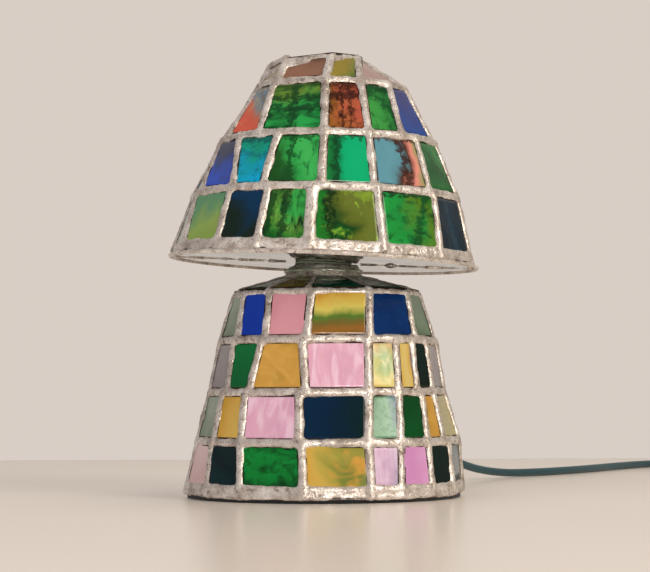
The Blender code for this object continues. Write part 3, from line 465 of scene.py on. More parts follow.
glass = {"thick": 0.0024, "setback": 0.0016, "joint": 0.0004, "cuts": 9, "wave": 0.0005, "waveSize": 0.016}
levels = {  # height, radius, sideways shift and tilt of each ring of corners
    "footRim": (0.0029, 0.0842, 0.0, 0.0), "baseLow": (0.0340, 0.0790, 0.0026, 0.0),
    "baseMiddle": (0.0629, 0.0710, 0.0020, 0.0), "baseHigh": (0.0936, 0.0653, 0.0026, 0.0),
    "shoulder": (0.1238, 0.0558, 0.0022, 0.0), "coneTop": (0.1334, 0.0200, 0.0003, 0.0),
    "shadeRim": (0.0019, 0.0922, 0.0, 0.0), "shadeLow": (0.0394, 0.0815, 0.0, -1.3),
    "shadeMiddle": (0.0723, 0.0663, -0.0003, -1.6), "shadeHigh": (0.1058, 0.0458, 0.0006, -1.2),
    "shadeTop": (0.1231, 0.0276, -0.0110, -8.1),
}
# Each seam has the angle of its low and its high end, and the sheet that the pane to its right is cut from.
# The seams round the back are spread evenly, and `back` names their sheets.
baseRows = [
    {"node": "base_glass_row_1", "slot": "pink_opal_glass", "low": "footRim", "high": "baseLow",
     "seams": [(-55, -60, "inkNavy"), (-35, -40, "grassGreen"), (-8, -11, "amberOlive"), (19, 17, "lilac"),
               (32, 32, "orchid"), (49, 47, "bottleBlack"), (65, 64, "tealGrey")],
     "back": ["ochre", "orchid", "pine", "paleRose", "cobalt", "seafoam", "amberOlive", "paleRose"]},
    {"node": "base_glass_row_2", "slot": "navy_glass", "low": "baseLow", "high": "baseMiddle",
     "seams": [(-58, -60, "amber"), (-40, -42, "rosePink"), (-12, -13, "midnight"), (17, 20, "seafoam"),
               (32, 36, "pine"), (47, 51, "ochre"), (59, 62, "straw")],
     "back": ["greyGreen", "rosePink", "navy", "amber", "grassGreen", "lilac", "ochre", "greyGreen"]},
    {"node": "base_glass_row_3", "slot": "amber_opal_glass", "low": "baseMiddle", "high": "baseHigh",
     "seams": [(-56, -58, "leafGreen"), (-40, -36, "ochre"), (-10, -13, "rosePink"), (20, 21, "palePrism"),
               (36, 37, "yellowPrism"), (48, 49, "bottleBlack"), (62, 62, "mauveGrey")],
     "back": ["amber", "pine", "dustyPink", "seafoam", "ochre", "cobalt", "straw", "mauveGrey"]},
    {"node": "base_glass_row_4", "slot": "cobalt_glass", "low": "baseHigh", "high": "shoulder",
     "seams": [(-55, -61, "cobalt"), (-34, -37, "dustyPink"), (-11, -9, "amberBand"), (22, 26, "navy"),
               (52, 58, "greyGreen")],
     "back": ["straw", "leafGreen", "rosePink", "navy", "amber", "pine", "dustyPink", "greyGreen"]},
    {"node": "base_glass_shoulder", "slot": "dark_green_glass", "low": "shoulder", "high": "coneTop",
     "seams": [(-38, -38, "oliveAmber"), (-11, -11, "pineDark"), (26, 26, "pineDark"), (60, 60, "bottleBlack")],
     "back": ["pineDark", "oliveAmber", "pineDark", "cobalt", "pineDark", "oliveAmber", "pineDark"]},
]
shadeRows = [
    {"node": "shade_glass_row_1", "slot": "olive_glass", "low": "shadeRim", "high": "shadeLow",
     "seams": [(-65, -71, "springOlive"), (-43, -43, "inkBlue"), (-25, -24, "streakyGreen"),
               (-5, -5, "deepOlive"), (22, 21, "brightGreen"), (48, 50, "deepNavy")],
     "back": ["paleOlive", "brightGreen", "waterBlue", "springOlive", "amberClear", "streakyGreen", "inkBlue",
              "paleOlive", "smokeGreen"]},
    {"node": "shade_glass_row_2", "slot": "emerald_glass", "low": "shadeLow", "high": "shadeMiddle",
     "seams": [(-42, -52, "turquoise"), (-27, -26, "leafRipple"), (-2, -2, "emerald"), (20, 21, "slateSalmon"),
               (48, 51, "forest")],
     "back": ["salmonClear", "waterBlue", "paleOlive", "emerald", "amberClear", "leafRipple", "waterBlue",
              "springOlive", "turquoise", "cobaltClear"]},
    {"node": "shade_glass_row_3", "slot": "green_glass", "low": "shadeMiddle", "high": "shadeHigh",
     "seams": [(-38, -49, "waveGreen"), (-2, -5, "rustBranch"), (21, 22, "edgeGreen"), (41, 47, "violetBlue")],
     "back": ["amberClear", "leafRipple", "salmonClear", "waterBlue", "springOlive", "turquoise", "paleOlive",
              "forest", "coral"]},
    {"node": "shade_glass_row_4", "slot": "maroon_glass", "low": "shadeHigh", "high": "shadeTop",
     "seams": [(-45, -37, "maroon"), (-5, 24, "mossYellow"), (21, 79, "shellPink"), (72, 106, "leafRipple"),
               (118, 138, "amberClear"), (165, 172, "waterBlue"), (212, 206, "coral"), (264, 266, "tan")],
     "back": []},
]
backWander = random.Random(7)  # the CAD's own draws for the seams round the back
shadeFrame = Matrix.Translation((0.0003, 0.0, 0.1409)) @ Matrix.Rotation(math.radians(2.6), 4, "Y")


def cornerOf(level, angle):
    height, radius, shift, tilt = levels[level]
    around, tilt = math.radians(angle), math.radians(tilt)
    across = radius * math.sin(around)
    return Vector((shift + across * math.cos(tilt), -radius * math.cos(around),
                   height - across * math.sin(tilt)))


def seamsAllRound(row):
    seams = list(row["seams"])
    gaps = len(row["back"]) + 1
    first, last = seams[0], seams[-1]
    for count, sheet in enumerate(row["back"], 1):
        wander = backWander.uniform(-1.5, 1.5)
        ends = [last[end] + (360 + first[end] - last[end]) * count / gaps + wander for end in (0, 1)]
        seams.append((*ends, sheet))
    return seams


def panesOf(row, place):
    # Every pane of a row: its four corners on the outside of the glass, its outward normal and its sheet
    seams = seamsAllRound(row)
    panes = []
    for here, (lowAngle, highAngle, sheet) in enumerate(seams):
        lowNext, highNext, _ = seams[(here + 1) % len(seams)]
        corners = [place @ spot for spot in (
            cornerOf(row["low"], lowAngle), cornerOf(row["low"], lowNext),
            cornerOf(row["high"], highNext), cornerOf(row["high"], highAngle))]
        normal = (corners[2] - corners[0]).cross(corners[3] - corners[1]).normalized()
        panes.append({"row": row, "corners": corners, "normal": normal, "sheet": sheet})
    return panes


# Sheet glass

# A sheet is its colours, their turn, their wobble, and then its marks and its lines if it has any. The colours run
# along the turn, in degrees from across the pane to up it, and the wobble pushes them about. The marks are streaks of
# one colour: its amount, then its grain in millimetres across, in depth and up. A line is painted in: the image of a
# seam of the far side, seen through the rippled glass that bends it, or a fold in the sheet. It has its turn and its
# place in the pane, half its width, its colour and its amount.
sheets = {
    "opal": {  # milky and glossy, no light through: the base
        "paleRose": ("#C9A09C #D2B0AC", 70, 0.5),
        "amberOlive": ("#C8983C #BFA048 #A0943E #66762C", 12, 0.5, ("#C8943C", 0.44, (15, 15, 11))),
        "lilac": ("#BD98B8 #B892B2 #B597B4 #9496AA", 0, 0.15, ("#CCAEC8", 0.42, (4, 4, 30))),
        "orchid": ("#CB8FC0 #C98ABC #D29BC6", 30, 0.5),
        "amber": ("#BE9232 #CCA24A #D2B056", 0, 0.4),
        "rosePink": ("#D49DB2 #D8A6B8 #CF9CB2 #D9A3BA", 0, 0.4, ("#E3C0CE", 0.44, (5, 5, 34))),
        "seafoam": ("#568C66 #689A74 #7EA88C #6C8092", 8, 0.4, ("#3E7E54", 0.42, (2.2, 2.2, 2.2))),
        "ochre": ("#8A7A2A #BE8F3C #C29440 #A8832E", 12, 0.5, ("#D0A24C", 0.4, (18, 18, 16))),
        "straw": ("#9C9058 #A89C62 #B0A46A", 0, 0.3),
        "greyGreen": ("#4C6846 #647C60 #5C745A", 60, 0.6),
        "palePrism": ("#C79E62 #D4C66C #9AB67C #CEB47A #C99C6C", 88, 0.35, ("#DCD2A0", 0.42, (5, 5, 8))),
        "yellowPrism": ("#C79F4A #D4B968 #D2BC74 #CDA852 #1B4C8E", 8, 0.16),
        "mauveGrey": ("#706668 #7A706E", 90, 0.5),
        "dustyPink": ("#C8868E #CF9199 #CC8D96", 20, 0.5),
        "amberBand": ("#7C5622 #8A5E24 #6A5C28 #4E7428 #CDBE5C #D0A846 #B88430", 90, 0.16),
    },
    "dark": {  # so dark that they read as black or deep colour: the base
        "inkNavy": ("#05282C #021A20 #052024", 60, 0.6),
        "grassGreen": ("#04481F #067A2E #0A8234 #06702A", 88, 0.45, ("#03300F", 0.42, (9, 9, 5)),
            (90, 0.12, 0.12, "#043A1A", 0.9), (0, 0.99, 0.05, "#04381A", 0.9), (0, 0.0, 0.04, "#04381A", 0.8)),
        "bottleBlack": ("#01110E #03201B", 90, 0.5),
        "tealGrey": ("#123A40 #4C5C58 #64625A", 270, 0.3),
        "midnight": ("#02243F #032038 #04221F", 0, 0.2),
        "pine": ("#064E20 #05441C", 60, 0.6),
        "leafGreen": ("#04602F #066E36", 90, 0.4),
        "cobalt": ("#06349E #0A3CA8", 60, 0.4),
        "navy": ("#02306A #032C64 #033470", 0, 0.6, ("#2A5488", 0.26, (3, 3, 26))),
        "oliveAmber": ("#8A7430 #6E6222 #27401C", 10, 0.6),
        "pineDark": ("#033A28 #04503A #02301F", 30, 0.8),
    },
    "clear": {  # cathedral glass, rippled by the roller: the shade
        "springOlive": ("#8AA64E #90AC56 #66986A #609A74", 84, 0.3),
        "inkBlue": ("#121E14 #10231E #04304E #023356", 80, 0.5),
        "streakyGreen": ("#12561F #35802C #66A03E #33A046", 40, 0.7, ("#0A3214", 0.46, (4, 4, 22)),
            (0, 0.1, 0.1, "#0A3A18", 0.9), (0, 0.44, 0.07, "#0B3216", 0.85), (0, 0.97, 0.04, "#0A3214", 0.8)),
        "deepOlive": ("#1F6A20 #0E4016 #5A6622 #64702A #60702C", 22, 0.5, ("#9CC63E", 0.34, (7, 7, 9)),
            (0, 0.06, 0.08, "#1C7A28", 0.8), (0, 0.27, 0.05, "#0A2A10", 0.85), (0, 0.98, 0.03, "#8FB83A", 0.8),
            (70, 0.96, 0.05, "#7FA030", 0.6)),
        "brightGreen": ("#20A046 #1E9840 #1C8C3A #567F22 #2C6A1E", -12, 0.4, ("#0A4420", 0.4, (9, 9, 5)),
            (90, 0.95, 0.05, "#073A1A", 0.9), (-14, 0.68, 0.06, "#0A4A20", 0.85), (90, 0.54, 0.03, "#0C5A26", 0.35)),
        "turquoise": ("#06A4CC #089AB4 #0A9A80 #0C9074", 86, 0.5, ("#075A5E", 0.36, (3.2, 3.2, 2.2)),
            (90, 0.93, 0.06, "#064A50", 0.7), (80, 0.62, 0.05, "#0A6A78", 0.6)),
        "leafRipple": ("#1F5220 #2B9A46 #3DAE54 #35A44E", 38, 0.5, ("#0E5A26", 0.36, (4, 4, 9)),
            (0, 0.38, 0.06, "#0C4A1E", 0.9), (90, 0.95, 0.05, "#0C4A1E", 0.8), (45, 0.02, 0.16, "#16481C", 0.9)),
        "emerald": ("#1D8F44 #0E5A2C #06A66C #08AA70 #06A468", -4, 0.22, None, (0, 0.28, 0.06, "#0A3A1C", 0.85),
            (90, 0.96, 0.035, "#0A4A26", 0.8)),
        "slateSalmon": ("#5E96A6 #6099A8 #5A8C9A #4A2A20 #E09080 #6A9A58", 4, 0.3, ("#3E2018", 0.3, (5, 5, 8)),
            (8, 0.62, 0.06, "#3A2018", 0.9), (90, 0.96, 0.05, "#4A2C22", 0.85)),
        "forest": ("#1E6A2C #145424 #267034", 60, 0.7, None, (50, 0.55, 0.08, "#0E4A1C", 0.7),
            (50, 0.86, 0.05, "#3F8848", 0.5)),
        # its pale line down the middle is a painted highlight
        "deepNavy": ("#021C28 #04283A #021E2A", 0, 0.3, None, (12, 0.5, 0.06, "#2A4A5C", 0.4)),
        "cobaltClear": ("#3A58C0 #3B52A0 #3E4460 #3A4058", 84, 0.5),
        "waveGreen": ("#26A04A #1F9040 #1A7A36 #35A048 #5E8230", 60, 0.7, ("#0A4220", 0.46, (14, 14, 5)),
            (0, 0.48, 0.07, "#0A3E1C", 0.9), (90, 0.46, 0.06, "#0A3E1C", 0.85), (90, 0.66, 0.05, "#123E18", 0.8),
            (90, 0.93, 0.05, "#2A4A18", 0.7)),
        "rustBranch": ("#86581E #9A5A2C #B0563E #A8503E", 10, 0.5, ("#2C140C", 0.44, (7, 7, 6)),
            (90, 0.95, 0.1, "#46200F", 0.95), (90, 0.7, 0.07, "#2A120C", 0.85), (0, 0.42, 0.035, "#2A120C", 0.85),
            (0, 0.64, 0.03, "#3A1A12", 0.8)),
        "edgeGreen": ("#3E9C46 #3A9442 #2C8038 #0C4420", 10, 0.4, ("#0A3E20", 0.4, (6, 6, 10)),
            (90, 0.93, 0.1, "#0A3A1C", 0.9), (0, 0.95, 0.08, "#0A3A1C", 0.85), (60, 0.62, 0.06, "#0E4A22", 0.8)),
        "violetBlue": ("#2A4A9C #304E98 #3C4682 #404268", 86, 0.4),
        "coral": ("#DC6048 #D85E48 #CC6C50 #8A8A8C #6E8494", 74, 0.4, ("#C0AC66", 0.36, (6, 6, 9)),
            (60, 0.8, 0.05, "#7A6A58", 0.7)),
        "maroon": ("#86604C #8A6450 #7E5A48 #1C0E0A", 90, 0.2),
        "mossYellow": ("#948432 #8A7C30 #4E7228", 8, 0.4),
        "shellPink": ("#AC8C84 #A07C74", 45, 0.5),
        "tan": ("#8E7858 #A08A68", 45, 0.5),
        "paleOlive": ("#A8B070 #8EA060", 60, 0.7),
        "waterBlue": ("#8FB8C4 #6FA4B8", 60, 0.7),
        "amberClear": ("#D6A548 #C88E34", 60, 0.7),
        "salmonClear": ("#E09A88 #D88C78", 60, 0.7),
        "smokeGreen": ("#5E7260 #6C8070", 90, 0.4),
    },
}
kinds = {  # roughness and shine of the fire-polished face, light through, ripple size and depth in millimetres
    "opal": {"roughness": 0.12, "shine": 0.5, "through": 0.0, "ripple": 9.0, "depth": 0.20},
    "dark": {"roughness": 0.07, "shine": 0.28, "through": 0.10, "ripple": 12.0, "depth": 0.12},
    "clear": {"roughness": 0.05, "shine": 0.34, "through": 0.12, "ripple": 5.0, "depth": 0.16},
}
lineSway = 0.26  # how far the ripples carry a line, as a share of the pane


def acrossPane(tree, wrap, degrees):  # how far across the pane a spot lies, from 0 to 1, when it is turned so
    turn = math.radians(-degrees)
    middle = Vector((0.5, 0.5, 0)) - Matrix.Rotation(turn, 3, "Z") @ Vector((0.5, 0.5, 0))
    along = addNode(tree, "Mapping", {"Vector": wrap, "Location": middle, "Rotation": (0, 0, turn)})
    return addNode(tree, "SeparateXYZ", {0: along.outputs["Vector"]}).outputs["X"]


def sheetGlass(name):  # hand-rolled soda glass: the colours lie in streams, and the face is gently rippled
    if name in bpy.data.materials:
        return bpy.data.materials[name]
    kindName = next(kindName for kindName, group in sheets.items() if name in group)
    kind = kinds[kindName]
    colours, turn, wobble, *extras = sheets[kindName][name]
    marks, lines = (extras or [None])[0], extras[1:]
    made, tree, shader = newMaterial(name, Roughness=kind["roughness"], IOR=1.52,
                                     Specular_IOR_Level=kind["shine"], Transmission_Weight=kind["through"])
    coords = addNode(tree, "TexCoord")
    wrap, place = coords.outputs["UV"], coords.outputs["Object"]
    swirl = noise(tree, place, 26, Detail=3.0, Roughness=0.45, Distortion=0.6)
    push = remap(tree, swirl, 0.25, 0.75, -wobble, wobble)
    flow = combine(tree, "ADD", acrossPane(tree, wrap, turn), push)
    shades = colours.split()
    colour = ramp(tree, flow, [(at / (len(shades) - 1), shade) for at, shade in enumerate(shades)])
    if marks:
        shade, amount, grain = marks
        drawn = addNode(tree, "Mapping", {"Vector": place, "Scale": [perMetre(size) for size in grain]})
        streaks = noise(tree, drawn.outputs["Vector"], 1000, Detail=4.0, Roughness=0.5, Distortion=0.8)
        colour = blend(tree, remap(tree, streaks, 0.90 - amount, 1.12 - amount), colour, hexColour(shade))
    ripple = noise(tree, place, kind["ripple"], Detail=1.5, Distortion=0.5)
    # The lines are painted into the colour: far seams seen through the glass, carried sideways by its ripples, or folds
    if lines:
        bend = combine(tree, "ADD", noise(tree, place, 2.6, Detail=3.0, Distortion=0.8), ripple)
    for degrees, at, half, shade, amount in lines:
        moved = combine(tree, "MULTIPLY_ADD", bend, lineSway, acrossPane(tree, wrap, degrees))
        away = combine(tree, "ABSOLUTE", combine(tree, "SUBTRACT", moved, at + lineSway))
        colour = blend(tree, remap(tree, away, half * 0.55, half * 1.5, amount, 0.0), colour, hexColour(shade))
    wire(tree, shader, Base_Color=colour)
    bumpFrom(tree, shader, ripple, 0.5, kind["depth"])
    return made


waveTexture = bpy.data.textures.new("glassWave", "CLOUDS")
waveTexture.noise_scale = glass["waveSize"]


def blankFor(pane, inset=0.0, setback=0.0, proud=0.0):  # one flat face drawn out to the pane's corners
    bpy.ops.mesh.primitive_plane_add(size=1)
    piece = bpy.context.object
    lowLeft, lowRight, highRight, highLeft = pane["corners"]
    for vertex in piece.data.vertices:
        side = 1 - inset if vertex.co.x > 0 else inset
        foot, head = lowLeft.lerp(lowRight, side), highLeft.lerp(highRight, side)
        back = (head - foot).normalized() * setback
        vertex.co = (head - back if vertex.co.y > 0 else foot + back) + pane["normal"] * proud
    return piece


def cutPane(name, pane, body):  # gently waved, with its thickness inwards
    lowLeft, lowRight, highRight, highLeft = pane["corners"]
    width = ((lowRight - lowLeft).length + (highRight - highLeft).length) / 2
    piece = blankFor(pane, glass["joint"] / width, glass["setback"])
    piece.name = name
    editing(piece)
    bpy.ops.mesh.subdivide(number_cuts=glass["cuts"])
    doneEditing()
    wave = piece.modifiers.new("wave", "DISPLACE")
    wave.texture, wave.strength, wave.mid_level = waveTexture, glass["wave"], 0.5
    wave.texture_coords = "LOCAL"
    wall = piece.modifiers.new("wall", "SOLIDIFY")
    wall.thickness, wall.offset = glass["thick"], -1
    fit(piece, sheetGlass(pane["sheet"]), body, (pane["row"]["node"],))


def cutPanes(rows, place, body, label):
    panes = []
    for row in rows:
        for count, pane in enumerate(panesOf(row, place), 1):
            cutPane(f"{label}_{rows.index(row) + 1}_pane_{count:02d}", pane, body)
            panes.append(pane)
    print(label, "panes", len(panes))
    return panes


basePanes = cutPanes(baseRows, Matrix(), "base", "base_row")
shadePanes = cutPanes(shadeRows, shadeFrame, "shade", "shade_row")


# Copper foil and solder

foil = {"reach": 0.0028, "coneReach": 0.0017, "proud": 0.00010}
solder = {"radius": 0.0030, "depth": 0.0016, "wander": 0.00022, "swell": 0.09, "every": 0.0046, "voxel": 0.00108,
          "lump": 0.0007, "lumpSize": 0.0065, "hammer": 0.00025, "hammerSize": 0.0022, "topDrop": 0.0028,
          "thinner": {"shoulder": 0.85, "coneTop": 0.65}, "lower": {"shoulder": 0.0018}, "coneSeam": 0.58,
          "topRun": 0.95, "rimRun": 0.82, "rimLift": 0.0012, "sameEdge": 0.02}


def handRunSolder(name="handRunSolder", roughness=(0.20, 0.50), tins=("#B3A79C", "#D8CEC4", "#F2EBE3")):
    # 60/40 tin and lead run on by hand: bright where it flowed, creased and brown with flux where it chilled
    made, tree, shader = newMaterial(name, Metallic=0.5)
    place = objectPlace(tree)
    patches = noise(tree, place, 9, Detail=4.0, Roughness=0.6)
    creases = noise(tree, place, 4.2, Detail=3.5, Roughness=0.55, Distortion=1.6)
    tin = ramp(tree, patches, list(zip((0.34, 0.5, 0.66), tins)))
    flux = remap(tree, creases, 0.35, 0.44, 0.66, 0.0)
    wire(tree, shader, Base_Color=blend(tree, flux, tin, hexColour("#665242")),
         Roughness=remap(tree, creases, 0.35, 0.6, roughness[1], roughness[0]))
    bumpFrom(tree, shader, creases, 0.8, 0.7)
    return made


def foilEdges(body, panes):
    # One folded edge of foil round every pane, on both faces
    pieces = []
    for pane in panes:
        piece = blankFor(pane, proud=foil["proud"])
        editing(piece)
        reach = foil["coneReach"] if pane["row"]["high"] == "coneTop" else foil["reach"]
        bpy.ops.mesh.inset(thickness=reach, use_even_offset=True)
        bpy.ops.mesh.delete(type="FACE")
        doneEditing()
        wall = piece.modifiers.new("wall", "SOLIDIFY")
        wall.thickness, wall.offset = glass["thick"] + 2 * foil["proud"], -1
        pieces.append(piece)
    bpy.ops.object.select_all(action="DESELECT")
    for piece in pieces:
        piece.select_set(True)
    bpy.context.view_layer.objects.active = pieces[0]
    bpy.ops.object.convert(target="MESH")
    bpy.ops.object.join()
    pieces[0].name = body + "_foil"
    fit(pieces[0], foilFinish, body, (body + "_seams",), smooth=0)


def beadLine(data, start, end, inward, radius):
    # One run of solder, as a spline whose points wander and swell
    depth = inward * solder["depth"]
    count = max(2, round((end - start).length / solder["every"]))
    spline = data.splines.new("POLY")
    spline.points.add(count)
    for step, point in enumerate(spline.points):
        drift = Vector([chance.uniform(-1, 1) for _ in range(3)]) * solder["wander"]
        point.co = (*(start.lerp(end, step / count) + depth + drift), 1.0)
        point.radius = radius * (1 + chance.uniform(-1, 1) * solder["swell"])


def nearestEdge(pane, others, middle):  # the pane of another row that shares this edge, or else the pane itself
    def reach(other):
        return min(((other["corners"][a] + other["corners"][b]) / 2 - middle).length for a, b in ((0, 1), (2, 3)))
    near = min(others, key=reach)
    return near if reach(near) < solder["sameEdge"] else pane


def melt(piece, voxel, *pushes):  # one flowing skin, pushed in and out by clouds of a name, a size and a strength
    remesh = piece.modifiers.new("flow", "REMESH")
    remesh.mode, remesh.voxel_size = "VOXEL", voxel
    for label, size, strength in pushes:
        texture = bpy.data.textures.new(label, "CLOUDS")
        texture.noise_scale, texture.noise_depth = size, 1
        push = piece.modifiers.new(label, "DISPLACE")
        push.texture, push.strength, push.mid_level, push.texture_coords = texture, strength, 0.5, "LOCAL"
    settle(piece)


def paneRuns(data, pane, panes, rimPanes):  # the runs along a pane's left, high and low edges
    mates = [other for other in panes if other["row"] is pane["row"]]
    others = [other for other in panes if other["row"] is not pane["row"]]
    lowLeft, lowRight, highRight, highLeft = pane["corners"]
    left = mates[mates.index(pane) - 1]
    row = pane["row"]
    top = nearestEdge(pane, others, (highLeft + highRight) / 2)
    drop = (lowLeft - highLeft).normalized() * (solder["topDrop"] if top is pane else 0)
    drop.z -= solder["lower"].get(row["high"], 0)
    seam = solder["coneSeam"] if row["high"] == "coneTop" else 1.0
    over = solder["topRun"] if top is pane else solder["thinner"].get(row["high"], 1.0)
    beadLine(data, lowLeft, highLeft + drop, -(pane["normal"] + left["normal"]).normalized() * seam, seam)
    beadLine(data, highLeft + drop, highRight + drop, -(pane["normal"] + top["normal"]).normalized() * over, over)
    if any(pane is other for other in rimPanes):  # the rim's own run stands just inside the pane's edge
        up = (highLeft - lowLeft).normalized() * solder["rimLift"]
        beadLine(data, lowLeft + up, lowRight + up, -pane["normal"], solder["rimRun"])
    else:
        under = nearestEdge(pane, others, (lowLeft + lowRight) / 2)
        size = solder["thinner"].get(row["low"], 1.0)
        sink = Vector((0, 0, -solder["lower"].get(row["low"], 0)))
        beadLine(data, lowLeft + sink, lowRight + sink, -(pane["normal"] + under["normal"]).normalized() * size, size)


def runSolder(body, panes, extra, rimPanes):
    name = body + "_solder"
    data = bpy.data.curves.new(name, "CURVE")
    data.dimensions = "3D"
    data.bevel_depth, data.bevel_resolution, data.use_fill_caps = solder["radius"], 2, True
    for pane in panes:
        paneRuns(data, pane, panes, rimPanes)
    for run in extra:
        beadLine(data, *run)
    piece = bpy.data.objects.new(name, data)
    bpy.context.collection.objects.link(piece)
    pick(piece)
    bpy.ops.object.convert(target="MESH")
    piece = bpy.context.object
    melt(piece, solder["voxel"], (name + "lump", solder["lumpSize"], solder["lump"]),
         (name + "hammer", solder["hammerSize"], solder["hammer"]))
    print(name, len(piece.data.polygons), "faces")
    fit(piece, solderFinish, body, (body + "_seams",), smooth=75)


# Extra runs. A run is its start, its end, the way into the glass, and its size against an ordinary run.

bands = {"foot": (0.0050, 1.0), "rim": (0.0044, 0.95), "top": (0.0068, 0.9)}  # distance from the edge, and size
lip = {"inward": 0.12, "sink": 0.0024, "size": 0.7}
widest = {"sheet": "deepOlive", "aside": 0.0014, "sides": (-1.0, 0.6), "size": 0.95}
floorSeam = {"ends": (0.0885, 0.0225), "height": -0.0014, "size": 0.36, "blob": (0.0385, 0.0425), "blobSize": 0.62}
neckRings = {"middle": 0.0003, "sides": 14, "uneven": 0.15,
             "rings": ((0.0212, 0.0012, 0.46), (0.0196, 0.0030, 0.62))}  # radius, height over the cap's foot, size


def bandRuns(panes, band, atTop=False):  # a second run beside a rim's first, which makes the wide band along it
    rise, size = bands[band]
    runs = []
    for pane in panes:
        lowLeft, lowRight, highRight, highLeft = pane["corners"]
        up = (highLeft - lowLeft).normalized() * rise
        ends = (highLeft - up, highRight - up) if atTop else (lowLeft + up, lowRight + up)
        runs.append((*ends, -pane["normal"], size))
    return runs


def lipRuns(panes, look):  # round the top pane, just inside its edge
    centre = sum((pane["corners"][3] for pane in panes), Vector()) / len(panes)
    down = Vector((0, 0, -look["sink"]))
    return [(*[pane["corners"][at].lerp(centre, look["inward"]) + down for at in (3, 2)],
             -pane["normal"], look["size"]) for pane in panes]


def widestSeam(panes, look):  # the widest seam of the shade, run twice
    front = next(pane for pane in panes if pane["sheet"] == look["sheet"])
    lowLeft, lowRight, _, highLeft = front["corners"]
    aside = (lowRight - lowLeft).normalized() * look["aside"]
    return [(lowLeft + aside * side, highLeft + aside * side, -front["normal"], look["size"]) for side in look["sides"]]


def floorRuns(look):  # where the two halves of the glass floor meet, with a blob on one side
    def run(start, end, size):
        return (*[shadeFrame @ Vector((x, 0, look["height"])) for x in (start, end)], Vector((0, 0, 1)), size)
    far, near = look["ends"]
    return [run(-far, -near, look["size"]), run(far, near, look["size"]), run(*look["blob"], look["blobSize"])]


def neckRuns(look):  # puddled round the neck, from the cone up to the cap's waist
    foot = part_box("neck_cap")[0][2]
    runs = []
    for radius, height, size in look["rings"]:
        angles = [math.tau * turn / look["sides"] for turn in range(look["sides"] + 1)]
        ring = [Vector((look["middle"] + radius * math.cos(angle), radius * math.sin(angle), foot + height))
                for angle in angles]
        runs += [(a, b, Vector((0, 0, 0)), size * chance.uniform(1 - look["uneven"], 1 + look["uneven"]))
                 for a, b in zip(ring, ring[1:])]
    return runs


def panesIn(panes, row):
    return [pane for pane in panes if pane["row"] is row]


solderFinish = handRunSolder()
# Adhesive copper foil folded over the pane's edge, dark brown to near black where solder misses it
foilFinish = mottled("blackFoil", {"millimetres": 5, "Detail": 4.0},
                     [(0.35, "#1A1410"), (0.62, "#3C2C20"), (0.72, "#6A4A32")], Metallic=0.7, Roughness=0.5)
foilEdges("base", basePanes)
foilEdges("shade", shadePanes)
footRow = panesIn(basePanes, baseRows[0])
rimRow = panesIn(shadePanes, shadeRows[0])
topRow = panesIn(shadePanes, shadeRows[3])
runSolder("base", basePanes, bandRuns(footRow, "foot") + neckRuns(neckRings), footRow)
runSolder("shade", shadePanes, bandRuns(rimRow, "rim") + bandRuns(topRow, "top", atTop=True) + lipRuns(topRow, lip)
          + floorRuns(floorSeam) + widestSeam(rimRow, widest), rimRow)


# Pieces kept from the CAD, in their real finishes

def dress(finish, *nodes):
    for node in nodes:
        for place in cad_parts[node].material_slots:
            place.material = finish


def moulded(name, colours, roughness, grain):  # moulded plastic: even, with the spark-eroded grain of its mould
    return mottled(name, {"millimetres": 12, "Detail": 5.0}, [(0.3, colours[0]), (0.75, colours[1])],
                   gloss=(0.3, 0.7, *roughness), bump=({"millimetres": grain, "Detail": 3.0}, 0.35, 0.04), IOR=1.5)


def woolFelt(name, greys):  # pressed wool felt: matt, with short fibres lying every way
    return mottled(name, {"millimetres": 0.8, "Detail": 6.0, "Roughness": 0.7, "Distortion": 1.5},
                   list(zip((0.3, 0.55, 0.75), greys)), bump=(None, 0.9, 0.4),
                   Roughness=0.95, Sheen_Weight=0.12, Sheen_Roughness=0.6)


def clearPane(name, colour, roughness):  # drawn window glass: colourless face on, greener through its edge
    made, tree, shader = newMaterial(name, Base_Color=colour, Roughness=roughness, IOR=1.52,
                                     Transmission_Weight=1.0)
    bumpFrom(tree, shader, noise(tree, objectPlace(tree), 30, Detail=1.0), 0.3, 0.2)
    return made


brass = plainMetal("turnedBrass", ("#B08A3C", "#D3B062"), (0.22, 0.42), (1, 1, 8))
steel = plainMetal("zincPlatedSteel", ("#8E9296", "#B4B8BA"), (0.30, 0.48))
nickel = plainMetal("nickelPlate", ("#B6B1A8", "#D6D2CA"), (0.16, 0.30), (1, 1, 8))
tungsten = plainMetal("drawnTungsten", ("#55504A", "#7A746C"), (0.35, 0.5))
blackMould = moulded("mouldedAbs", ("#0D0D0E", "#191A1B"), (0.34, 0.52), 0.5)
greyMould = moulded("mouldedNylon", ("#2C2E30", "#3A3D40"), (0.30, 0.44), 0.6)
# Injection moulded soft PVC: dull skin with a faint bloom
reliefRubber = mottled("softPvc", {"millimetres": 6, "Detail": 5.0}, [(0.35, "#101314"), (0.7, "#1E2324")],
                       gloss=(0.0, 1.0, 0.45, 0.68), bump=({"millimetres": 0.5}, 0.35, 0.04), IOR=1.5)
# Steatite, pressed and fired: off-white, with the odd dark speck under a thin glaze
steatite = mottled("steatite", {"millimetres": 0.9, "Detail": 4.0},
                   [(0.25, "#B8B0A0"), (0.36, "#E4DFD2"), (0.8, "#EFEBE0")], bump=(None, 0.3, 0.05),
                   Roughness=0.35, IOR=1.55)
felt = woolFelt("woolFelt", ("#040505", "#0B0D0D", "#171B1A"))
